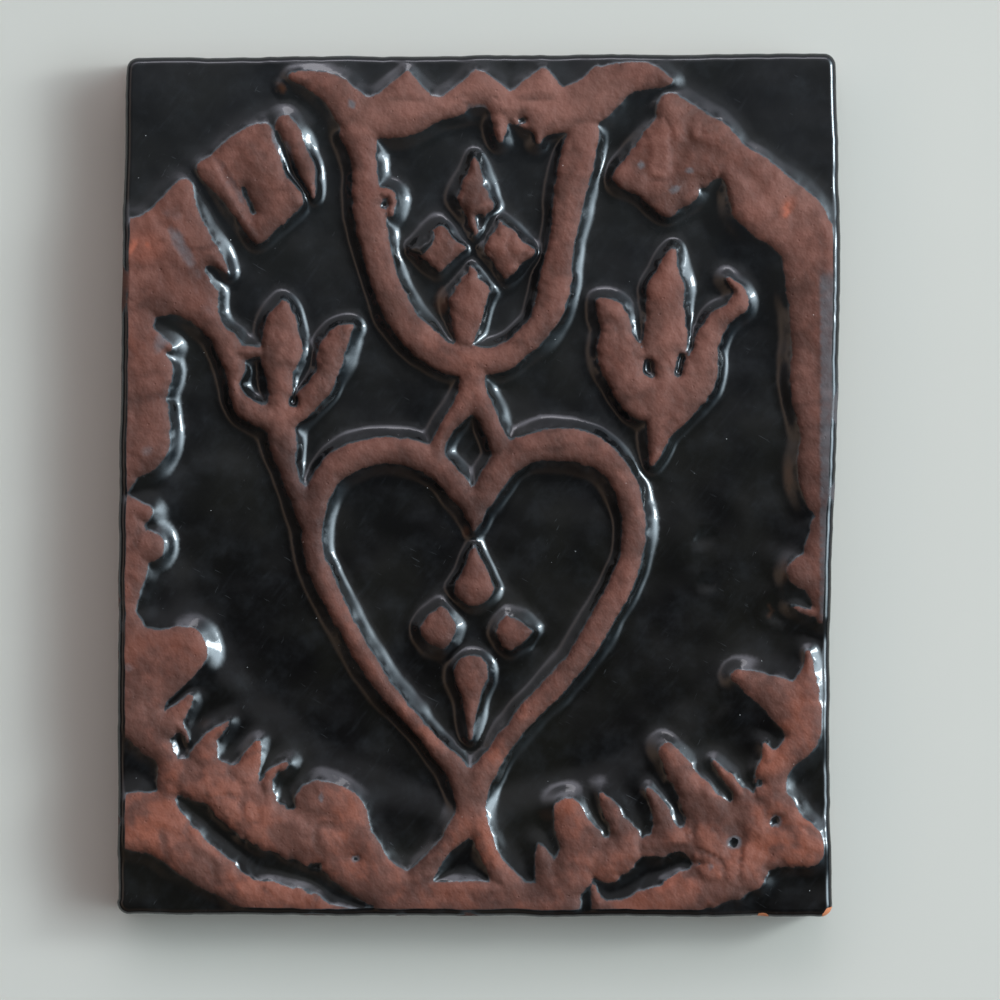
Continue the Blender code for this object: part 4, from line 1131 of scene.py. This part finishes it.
@dataclass(frozen=True)
class BareClay:
    """Matt fired clay, wiped clean on top of the figures."""

    dull: Colour = (0.078, 0.031, 0.021)
    plain: Colour = (0.138, 0.050, 0.034)
    warm: Colour = (0.222, 0.063, 0.033)
    worn: Colour = (0.295, 0.132, 0.098)
    edge_stain_and_shade: Colour = (0.030, 0.014, 0.010)
    glowing: Colour = (0.340, 0.098, 0.056)
    orange: Colour = (0.560, 0.190, 0.080)
    grey: Colour = (0.115, 0.115, 0.120)
    painted_glint: Colour = (0.480, 0.380, 0.340)
    roughness: float = 0.62
    shine: float = 0.22
    darkness: float = 1.25

    def colour(self, bench: Bench, place: Channel) -> Channel:
        """Clay that is orange on its lumps and dull in its creases, which is painted light and shade, with
        painted shade on the edges facing away from the light, grey where glaze is left and painted glints.

        Args:
            bench: Where the nodes are made.
            place: The place on the object in millimetres.

        Returns:
            The colour.
        """
        mottle = bench.noise(place, 1.6, 3.0)
        proud = bench.value("proud")
        shaded_side = bench.value("shaded_side")
        clay_edge = bench.value("clay_edge")
        # The proud value lightens the lumps and darkens the creases: painted light and shade on the clay's
        # relief.
        shade = bench.noise(place, 8.0, 3.0) * 1.7 + mottle * 0.45 + proud * 0.35
        shade = shade + self.wiped(bench, place) * 0.4 - self.darkness
        colour = shade.step(-0.1, 0.55).colours(self.dull, self.plain)
        warmth = (bench.value("warmth") + bench.noise(place, 11.0) * 0.9 - 0.25) * shade.step(0.1, 0.8)
        patch = bench.noise(place, 4.2, 3.0).step(0.28, 0.72)
        tone = bench.value("tone")
        # Darker brown towards the clay's edges: a little all round as edge stain, and strongly on the sides
        # facing away from the light as painted shade.
        edge_stain_and_shade = (clay_edge + (mottle - 0.5) * 0.9).step(-1.0, 0.1) * (shaded_side * 0.85 + 0.1)
        glow = (bench.value("glow") + (mottle - 0.5) * 0.15).step(0.05, 1.0)
        wash = (bench.value("wash") + (mottle - 0.5) * 0.7).step(0.25, 0.95) * 0.75
        # A grey line on the clay's edge: thin glaze with a painted sheen, left out on the sides facing away
        # from the light.
        edge = clay_edge.step(-0.40, 0.0) * (0.28 - shaded_side * 0.28) * mottle.step(0.30, 0.60)
        layers = (
            (warmth.step(0.0, 1.0), self.warm),
            # Paler worn colour on the highest lumps: painted light.
            ((proud + mottle - 0.5).step(0.75, 1.5) * 0.35, self.worn),
            ((1 - patch) * 0.14, BLACK),
            (patch * 0.15, self.worn),
            (tone.larger(0.0) * 0.50, self.worn),
            ((0 - tone).larger(0.0) * 0.38, BLACK),
            (edge_stain_and_shade, self.edge_stain_and_shade),
            (glow, self.glowing),
            (wash.larger(edge), self.grey),
            # Sparse pale specks: painted glints on the clay.
            (bench.speck_clouds(place, 2.3, (0.02, 0.045), 5.0, (0.52, 0.60)), self.painted_glint),
        )
        for share, layer in layers:
            colour = share.colours(colour, layer)
        return colour

    def wiped(self, bench: Bench, place: Channel) -> Channel:
        """Soft streaks left by the hand that wiped the clay clean."""
        return bench.noise(bench.streaked(place, 2.15, 3.2), 0.9, 2.0, 0.55)

    def relief(self, bench: Bench, place: Channel) -> Channel:
        """Grain, drag marks, streaks and pits of the clay, in millimetres.

        Args:
            bench: Where the nodes are made.
            place: The place on the object in millimetres.

        Returns:
            The height.
        """
        grain = bench.noise(place, 0.28, 1.0, 0.6) * 0.014
        drag = bench.noise(place, 1.3, 2.0, 0.58) * 0.20
        pits = bench.cells(place, 1.9).step(0.02, 0.12) * 0.06
        return grain + drag + pits + self.wiped(bench, place) * 0.07

    def shader(self, bench: Bench, place: Channel) -> Channel:
        """The matt clay."""
        return bench.coat(self.relief(bench, place), Base_Color=self.colour(bench, place),
                          Roughness=self.roughness, Specular_IOR_Level=self.shine)


@dataclass(frozen=True)
class BlackGlaze:
    """Thick glossy black glaze, grey where it thins out on the clay with a painted sheen there, and brown in
    some hollows.
    """

    deep: Colour = (0.0022, 0.0021, 0.0022)
    olive: Colour = (0.0066, 0.0063, 0.0050)
    brown: Colour = (0.052, 0.023, 0.013)
    milky_film_and_sheen: Colour = (0.060, 0.070, 0.075)
    bloom: Colour = (0.026, 0.028, 0.030)
    scratch: Colour = (0.060, 0.062, 0.064)
    painted_glint: Colour = (0.300, 0.300, 0.290)
    roughness: float = 0.08

    def colour(self, bench: Bench, place: Channel) -> Channel:
        """Deep black with a milky edge of thin glaze and painted sheen, brown thin places, a faint bloom
        that grows greyer towards the top, and painted glints.

        Args:
            bench: Where the nodes are made.
            place: The place on the object in millimetres.

        Returns:
            The colour.
        """
        cloud = bench.noise(place, 3.5, 3.0, 0.6)
        bloom = bench.noise(place, 5.0, 3.0, 0.65).step(0.42, 0.85) * 0.34
        wiped = bench.streaked(place, 0.9, 5.0)
        bloom += bench.noise(wiped, 0.8, 3.0).step(0.48, 0.80) * cloud.step(0.4, 0.7) * 0.22
        # The glaze turns greyer towards the top of the tile.
        bloom += bench.value("greyer_towards_top") * 0.26
        scored = bench.noise(bench.streaked(place, -0.5, 9.0), 0.35).larger(
            bench.noise(bench.streaked(place, 1.1, 7.0), 0.30))
        scratch = scored.step(0.70, 0.76) * bench.noise(place, 6.0).step(0.46, 0.62) * 0.35
        brown = bench.value("brown") * (cloud + 0.4)
        milky_film_and_sheen = 1 - (bench.value("clay_edge") + (cloud - 0.5) * 0.6).step(-0.05, 0.22)
        colour = bench.noise(place, 13.0).step(0.35, 0.70).colours(self.deep, self.olive)
        layers = (
            (bloom, self.bloom),
            (scratch, self.scratch),
            (brown.step(0.1, 1.0), self.brown),
            # The milky edge is thin glaze with a painted sheen, strong on the sides facing the light and
            # faint on those away from it.
            (milky_film_and_sheen * (0.65 - bench.value("shaded_side") * 0.6), self.milky_film_and_sheen),
            # Sparse pale specks: painted glints on the glaze.
            (bench.speck_clouds(place, 2.7, (0.018, 0.04), 7.0, (0.5, 0.58)), self.painted_glint),
        )
        for share, layer in layers:
            colour = share.colours(colour, layer)
        return colour

    def relief(self, bench: Bench, place: Channel) -> Channel:
        """Slow waves and small bubbles of the glaze, in millimetres.

        Args:
            bench: Where the nodes are made.
            place: The place on the object in millimetres.

        Returns:
            The height.
        """
        waves = bench.noise(place, 2.8, 1.0) * 0.030
        skin = bench.noise(place, 0.5, 1.0) * 0.0035
        return waves + skin + bench.cells(place, 3.2).step(0.0, 0.045) * -0.020

    def shader(self, bench: Bench, place: Channel) -> Channel:
        """The glossy glaze."""
        rough = bench.noise(place, 4.0, 1.0).between(0.6, 1.6) * self.roughness
        return bench.coat(self.relief(bench, place), Base_Color=self.colour(bench, place), Roughness=rough)


@dataclass(frozen=True)
class FiredFinish:
    """Clay and glaze as they meet on one body."""

    clay: BareClay = BareClay()
    glaze: BlackGlaze = BlackGlaze()
    chip_roughness: float = 0.8

    def material(self) -> bpy.types.Material:
        """Make the material of the tile.

        Returns:
            The material.
        """
        material = bpy.data.materials.new("fired_clay_and_glaze")
        bench = Bench(material)
        place = bench.place()
        wander = (bench.noise(place, 1.2, 3.0) - 0.5) * 0.34 + (bench.noise(place, 0.35) - 0.5) * 0.30
        glazed = (bench.value("clay_edge") + wander).step(-0.14, -0.02)
        film = bench.value("film") * bench.noise(place, 2.0, 1.0).step(0.2, 0.5) * 0.35
        body = bench.mixed(glazed.larger(film), self.clay.shader(bench, place),
                           self.glaze.shader(bench, place))
        chipped = (bench.value("chip") + (bench.noise(place, 0.9, 1.0) - 0.5) * 0.6).step(0.30, 0.42)
        fresh = bench.shader("ShaderNodeBsdfPrincipled", Base_Color=(*self.clay.orange, 1.0),
                             Roughness=self.chip_roughness)
        bench.show("ShaderNodeOutputMaterial", bench.mixed(chipped, body, fresh))
        return material


@dataclass
class ReliefTile:
    """The whole tile: face, rounded rim, walls, chamfer and plain back."""

    slab: Slab
    drawing: Drawing
    finish: FiredFinish = FiredFinish()
    rows: tuple[float, ...] = (0.03, -0.12, 0.18, -0.30, 0.34, -0.50, 0.52, 0.72, -0.75, 0.95, 1.25, 1.6,
                               -1.1)
    row_step: float = 0.00044
    row_gap: float = 0.00012
    clay_step: float = 0.00060
    flat_step: float = 0.00085
    valley_step: float = 0.00035
    valley_range: tuple[float, float] = (0.15 * MM, 1.5 * MM)
    back_step: float = 0.0030
    rim_steps: int = 6
    wall_steps: int = 7
    rim_gap: float = 0.00020
    safe_margin: float = 2 * MM
    film_sides: tuple[float, float] = (48.5 * MM, 49.3 * MM)
    film_ends: tuple[float, ...] = (-21 * MM, -18 * MM, 28 * MM, 33 * MM)
    run_height: float = 4.6 * MM
    run_wave: float = 1.4 * MM
    run_drips: float = 0.7 * MM
    run_below_clay: float = 4.2 * MM
    wall_roughness: float = 0.05 * MM
    brow_fade: tuple[float, float] = (1.3 * MM, 0.2 * MM)
    back_edge: float = -3.0

    def face_places(self, relief: HeightMap, ring: Values) -> Values:
        """Choose the points of the face: rows along every slope, and a wider bed between them.

        Args:
            relief: The heights of the face.
            ring: The edge of the face.

        Returns:
            Places across and up, with the ring first.
        """
        bed = PointBed()
        bed.add(ring, 0.0, 0.0)
        for level in self.rows:
            bed.add(self.inside(relief.crossings(level * MM), ring), self.row_step, self.row_gap)
        middle = relief.distance[1:-1, 1:-1]
        crest = ((middle >= relief.distance[1:-1, :-2]) & (middle > relief.distance[1:-1, 2:])
                 | (middle >= relief.distance[:-2, 1:-1]) & (middle > relief.distance[2:, 1:-1]))
        rows, columns = np.nonzero(crest & (middle > self.valley_range[0]) & (middle < self.valley_range[1]))
        valleys = np.column_stack((relief.xs[columns + 1], relief.ys[rows + 1]))
        bed.add(self.inside(valleys, ring), self.valley_step, 1.5 * self.row_gap)
        for step, is_clay in ((self.clay_step, True), (self.flat_step, False)):
            grid = grid_places(ring, step, step * math.sqrt(0.75))
            grid[1::2, :, 0] += 0.5 * step
            grid = grid.reshape(-1, 2)
            kept = (relief.sample(relief.distance, grid[:, 0], grid[:, 1]) < 0) == is_clay
            bed.add(self.inside(grid[kept], ring), 0.5 * step, 0.5 * step)
        return np.array(bed.places)

    def inside(self, places: Values, ring: Values) -> Values:
        """Keep the places that stand inside the edge of the face.

        Args:
            places: Places across and up.
            ring: The edge of the face.

        Returns:
            The places kept.
        """
        low = ring.min(axis=0) + self.safe_margin
        high = ring.max(axis=0) - self.safe_margin
        safe = ((places > low) & (places < high)).all(axis=1)
        outer = places[~safe]
        kept = self.drawing.distance(outer[:, 0], outer[:, 1], ring, True) < -self.rim_gap
        return np.vstack((places[safe], outer[kept]))

    def surface_values(self, places: Values, clay_edge: Values, face: Union[Values, float],
                       proud: Union[Values, float] = 0.3,
                       shaded_side: Union[Values, float] = 0.5) -> dict[str, Values]:
        """Surface values for the finish.

        Args:
            places: Places in the tile's frame.
            clay_edge: Millimetres into the glaze, negative on bare clay.
            face: 1 on the face and 0 where its marks don't reach.
            proud: 1 on the lumps of the clay and 0 in its creases.
            shaded_side: 1 on the sides of the figures that face away from the light, where shade is painted,
                0 on the others.

        Returns:
            The values by name.
        """
        x = places[:, 0]
        y = places[:, 1]
        kinds = (Mark.WASH, Mark.CHIP, Mark.GLOW, Mark.BROWN, Mark.PALE, Mark.DUSKY)
        wash, chip, glow, brown, pale, dusky = (self.drawing.marked(kind, x, y) for kind in kinds)
        start, full, fading, end = self.film_ends
        film = smooth_step(x, *self.film_sides) * smooth_step(y, start, full)
        film *= (1 - smooth_step(y, fading, end)) * face
        return {
            "clay_edge": clay_edge,
            "proud": np.broadcast_to(proud, x.shape),
            "film": film,
            "wash": wash * face + 0.75 * film,
            "chip": chip * face,
            "glow": glow * face,
            "brown": brown * face,
            "warmth": smooth_step(-y, 5 * MM, 50 * MM) * 0.85 + smooth_step(-x, 38 * MM, 50 * MM) * 0.2,
            "greyer_towards_top": smooth_step(y, -30 * MM, 62 * MM),
            "shaded_side": np.broadcast_to(shaded_side, x.shape),
            "tone": (pale - dusky) * face,
        }

    def build(self) -> bpy.types.Object:
        """Build the closed mesh.

        Returns:
            The piece, in place and not yet dressed.
        """
        slab = self.slab
        relief = HeightMap(slab, self.drawing)
        ring = slab.edge(slab.rim_round, slab.top_corner)
        places = self.face_places(relief, ring)
        x = places[:, 0]
        y = places[:, 1]
        edge = relief.sample(relief.distance, x, y) / MM
        cover = 1.2 * self.drawing.marked(Mark.COVER, x, y)
        edge = np.maximum(edge, cover + np.minimum(edge, -0.6) * 0.2 - 0.3)
        shell = Shell()
        points = np.column_stack((places, relief.sample(relief.height, x, y)))
        proud = relief.sample(relief.lumps, x, y)
        shaded_side = relief.sample(relief.shaded_side, x, y)
        shell.add_points(points, relief.normals(x, y), self.surface_values(points, edge, 1.0, proud, shaded_side))
        shell.faces += map(tuple, triangulated(places, len(ring)))
        self.add_sides(shell, points[:len(ring)], edge[:len(ring)])
        mesh = shell.mesh("glazed_relief_tile")
        piece = bpy.data.objects.new("glazed_relief_tile", mesh)
        bpy.context.scene.collection.objects.link(piece)
        return piece

    def add_sides(self, shell: Shell, rim: Values, edge: Values) -> None:
        """Add the rounded rim, the walls, the chamfer and the back.

        Args:
            shell: Where the points and faces go.
            rim: The edge of the face, in the tile's frame.
            edge: Millimetres into the glaze along that edge.
        """
        slab = self.slab
        along, still = slab.course(len(rim))
        drips = self.run_drips * Roll.RUN_DRIPS.at(along, still)
        run = self.run_height + self.run_wave * Roll.RUN.at(along, still)
        run += drips + smooth_step(-edge, -0.2, 0.6) * self.run_below_clay
        rings = []
        for step in range(1, self.rim_steps + 1):
            turn = 0.5 * math.pi * step / self.rim_steps
            inset = slab.rim_round * (1 - math.sin(turn))
            flat = slab.edge(inset, slab.top_corner + slab.rim_round * math.sin(turn))
            rings.append(np.column_stack((flat, rim[:, 2] - slab.rim_round * (1 - math.cos(turn)))))
        flat = slab.edge(0.0, slab.top_corner + slab.rim_round)
        out = slab.outward(flat)
        brow = rings[-1][:, 2]
        for step in range(1, self.wall_steps + 1):
            share = step / self.wall_steps
            rough = self.wall_roughness * Roll.WALL.at(along, still + share * 9 * MM) * (share < 1)
            height = brow + share * (slab.back_chamfer - brow)
            rings.append(np.column_stack((flat + rough[:, None] * out, height)))
        back = slab.edge(slab.back_chamfer, slab.back_corner)
        rings.append(np.column_stack((back, still)))
        above = 0
        for points in rings:
            into = np.clip((points[:, 2] - run) / MM, -3, 3)
            into = np.where(points[:, 2] > brow, np.minimum(into, edge + 0.5 * into), into)
            face = smooth_step(points[:, 2], brow - self.brow_fade[0], brow + self.brow_fade[1])
            below = shell.add_points(points, np.zeros_like(points), self.surface_values(points, into, face))
            shell.add_band(above, below, len(rim))
            above = below
        self.add_back(shell, back, above)

    def add_back(self, shell: Shell, ring: Values, first: int) -> None:
        """Close the flat back with a bed of points.

        Args:
            shell: Where the points and faces go.
            ring: The edge of the back.
            first: The number of the ring's first point.
        """
        grid = grid_places(ring, self.back_step, self.back_step).reshape(-1, 2)
        inner = grid[self.drawing.distance(grid[:, 0], grid[:, 1], ring, True) < -MM]
        flat = np.column_stack((inner, np.zeros(len(inner))))
        down = np.tile((0.0, 0.0, -1.0), (len(inner), 1))
        values = self.surface_values(flat, np.full(len(inner), self.back_edge), 0.0)
        start = shell.add_points(flat, down, values) - len(ring)
        shell.faces += [tuple(k + (first if k < len(ring) else start) for k in triangle[::-1])
                        for triangle in triangulated(np.vstack((ring, inner)), len(ring))]

    def dress(self, piece: bpy.types.Object) -> None:
        """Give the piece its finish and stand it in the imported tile's place.

        Args:
            piece: The tile's mesh.
        """
        piece.data.materials.append(self.finish.material())
        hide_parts("relief_tile")
        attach(piece, "root")


@dataclass(frozen=True)
class Lamp:
    """One soft lamp that faces the tile."""

    name: str
    place: tuple[float, float, float]
    size: tuple[float, float]
    power: float
    colour: Colour

    def hang(self, target: Vector) -> None:
        """Put up the lamp and turn it towards the target.

        Args:
            target: The place it shines at.
        """
        data = bpy.data.lights.new(self.name, "AREA")
        data.shape = "RECTANGLE"
        data.size, data.size_y = self.size
        data.energy = self.power
        data.color = self.colour
        lamp = bpy.data.objects.new(self.name, data)
        lamp.location = self.place
        lamp.rotation_euler = (target - Vector(self.place)).to_track_quat("-Z", "Y").to_euler()
        bpy.context.scene.collection.objects.link(lamp)


@dataclass(frozen=True)
class Pane:
    """One soft bright part of the sky, widest at its middle height."""

    azimuth: float
    narrowness: float
    heights: tuple[float, float, float]
    colour: Colour

    def light(self, bench: Bench, flat: Channel, height: Channel, sky: Channel) -> Channel:
        """Add the pane's light to the sky.

        Args:
            bench: Where the nodes are made.
            flat: The direction looked in, laid level.
            height: How much that direction points upwards.
            sky: The colour of the light so far.

        Returns:
            The colour of the light with the pane's own.
        """
        turn = math.radians(self.azimuth)
        facing = bench.along(flat, (math.cos(turn), math.sin(turn), 0.0))
        low, middle, high = self.heights
        share = facing.times_plus(0.5, 0.5) ** self.narrowness
        share = share * height.step(low, middle) * height.step(high, middle)
        return bench.vector("MULTIPLY_ADD", {0: share, 1: self.colour, 2: sky})


@dataclass
class Studio:
    """Plain pale floor, soft light and a camera straight above the tile."""

    face_height: float
    picture_width: float = 1000 / 7 * MM
    picture_centre: tuple[float, float] = (3.29 * MM, -2.0 * MM)
    lens: float = 190.0
    sensor: float = 36.0
    nearest_shown: float = 0.01
    floor_size: float = 4.0
    floor_gap: float = 0.0001
    floor_colour: Colour = (0.56, 0.535, 0.47)
    floor_shade: float = 0.97
    floor_roughness: float = 0.85
    dark_sky: Colour = (0.045, 0.043, 0.042)
    light_sky: Colour = (0.380, 0.385, 0.410)
    sky_towards: tuple[float, float, float] = (0.25, 0.97, 0.0)
    sky_range: tuple[float, float] = (-0.16, 0.42)
    panes: tuple[Pane, ...] = (
        Pane(84.0, 1.8, (0.05, 0.60, 0.97), (0.27, 0.25, 0.29)),
        Pane(8.0, 24.0, (0.24, 0.62, 0.90), (9.5, 11.6, 13.0)),
        Pane(5.0, 5.0, (0.00, 0.45, 0.97), (0.15, 0.36, 0.52)),
        Pane(92.0, 12.0, (0.46, 0.67, 0.86), (2.6, 2.6, 3.0)),
        Pane(140.0, 5.0, (0.30, 0.60, 0.90), (0.25, 0.25, 0.30)),
        Pane(185.0, 8.0, (0.40, 0.60, 0.85), (0.55, 0.36, 0.22)),
        Pane(265.0, 3.0, (0.05, 0.50, 0.92), (0.16, 0.10, 0.07)),
    )
    lamps: tuple[Lamp, ...] = (
        Lamp("window", (0.48, 0.12, 0.36), (0.09, 0.17), 1.20, (0.85, 0.94, 1.0)),
        Lamp("upper_strip", (0.06, 0.48, 0.38), (0.30, 0.07), 0.20, (0.97, 0.95, 1.0)),
    )

    def lay_floor(self) -> None:
        """Lay the floor under the tile."""
        half = 0.5 * self.floor_size
        corners = [(-half, -half), (half, -half), (half, half), (-half, half)]
        mesh = bpy.data.meshes.new("floor")
        mesh.from_pydata([(x, y, -self.floor_gap) for x, y in corners], [], [(0, 1, 2, 3)])
        floor = bpy.data.objects.new("floor", mesh)
        material = bpy.data.materials.new("floor_paper")
        bench = Bench(material)
        shaded = tuple(self.floor_shade * part for part in self.floor_colour)
        colour = bench.noise(bench.place(), 30.0, 3.0).colours(shaded, self.floor_colour)
        bench.show("ShaderNodeOutputMaterial", bench.shader(
            "ShaderNodeBsdfPrincipled", Base_Color=colour, Roughness=self.floor_roughness))
        mesh.materials.append(material)
        bpy.context.scene.collection.objects.link(floor)
        floor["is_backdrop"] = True

    def set_lights(self) -> None:
        """Put up the lamps and a dim sky with soft bright patches."""
        for lamp in self.lamps:
            lamp.hang(Vector((0, 0, self.face_height)))
        world = bpy.data.worlds.new("studio_sky")
        bench = Bench(world)
        way = bench.add("ShaderNodeTexCoord", output="Generated")
        flat = bench.vector("NORMALIZE", {0: bench.vector("MULTIPLY", {0: way, 1: (1, 1, 0)})})
        height = bench.add("ShaderNodeSeparateXYZ", None, {0: way}, "Z")
        colour = bench.along(way, self.sky_towards).step(*self.sky_range)
        colour = colour.colours(self.dark_sky, self.light_sky)
        for pane in self.panes:
            colour = pane.light(bench, flat, height, colour)
        bench.show("ShaderNodeOutputWorld", bench.shader("ShaderNodeBackground", Color=colour))
        bpy.context.scene.world = world
        bpy.context.scene.view_settings.view_transform = "Standard"

    def set_camera(self) -> None:
        """Hang the camera straight above the picture's centre."""
        data = bpy.data.cameras.new("overhead")
        data.lens = self.lens
        data.sensor_width = self.sensor
        data.clip_start = self.nearest_shown
        camera = bpy.data.objects.new("overhead", data)
        rise = self.picture_width * self.lens / self.sensor
        camera.location = (*self.picture_centre, self.face_height + rise)
        bpy.context.scene.collection.objects.link(camera)
        bpy.context.scene.camera = camera


def main() -> None:
    """Build the tile and the studio in order, and log the tile's points and faces and the number of lamps.
    """
    logging.basicConfig(level=logging.INFO, format="%(message)s")
    low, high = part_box("relief_tile")
    slab = Slab(unit=MM, top=high.z)
    sheet_height = slab.corners[2][1] - slab.corners[1][1]
    slab.unit = (high.y - low.y) / sheet_height
    tile = ReliefTile(slab, Drawing(unit=slab.unit))
    piece = tile.build()
    tile.dress(piece)
    LOG.info("%s: %d points, %d faces", piece.name, len(piece.data.vertices), len(piece.data.polygons))
    studio = Studio(face_height=high.z)
    studio.lay_floor()
    studio.set_lights()
    studio.set_camera()
    LOG.info("studio: %d lamps", len(studio.lamps))
    low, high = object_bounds()


if __name__ == "__main__":
    main()
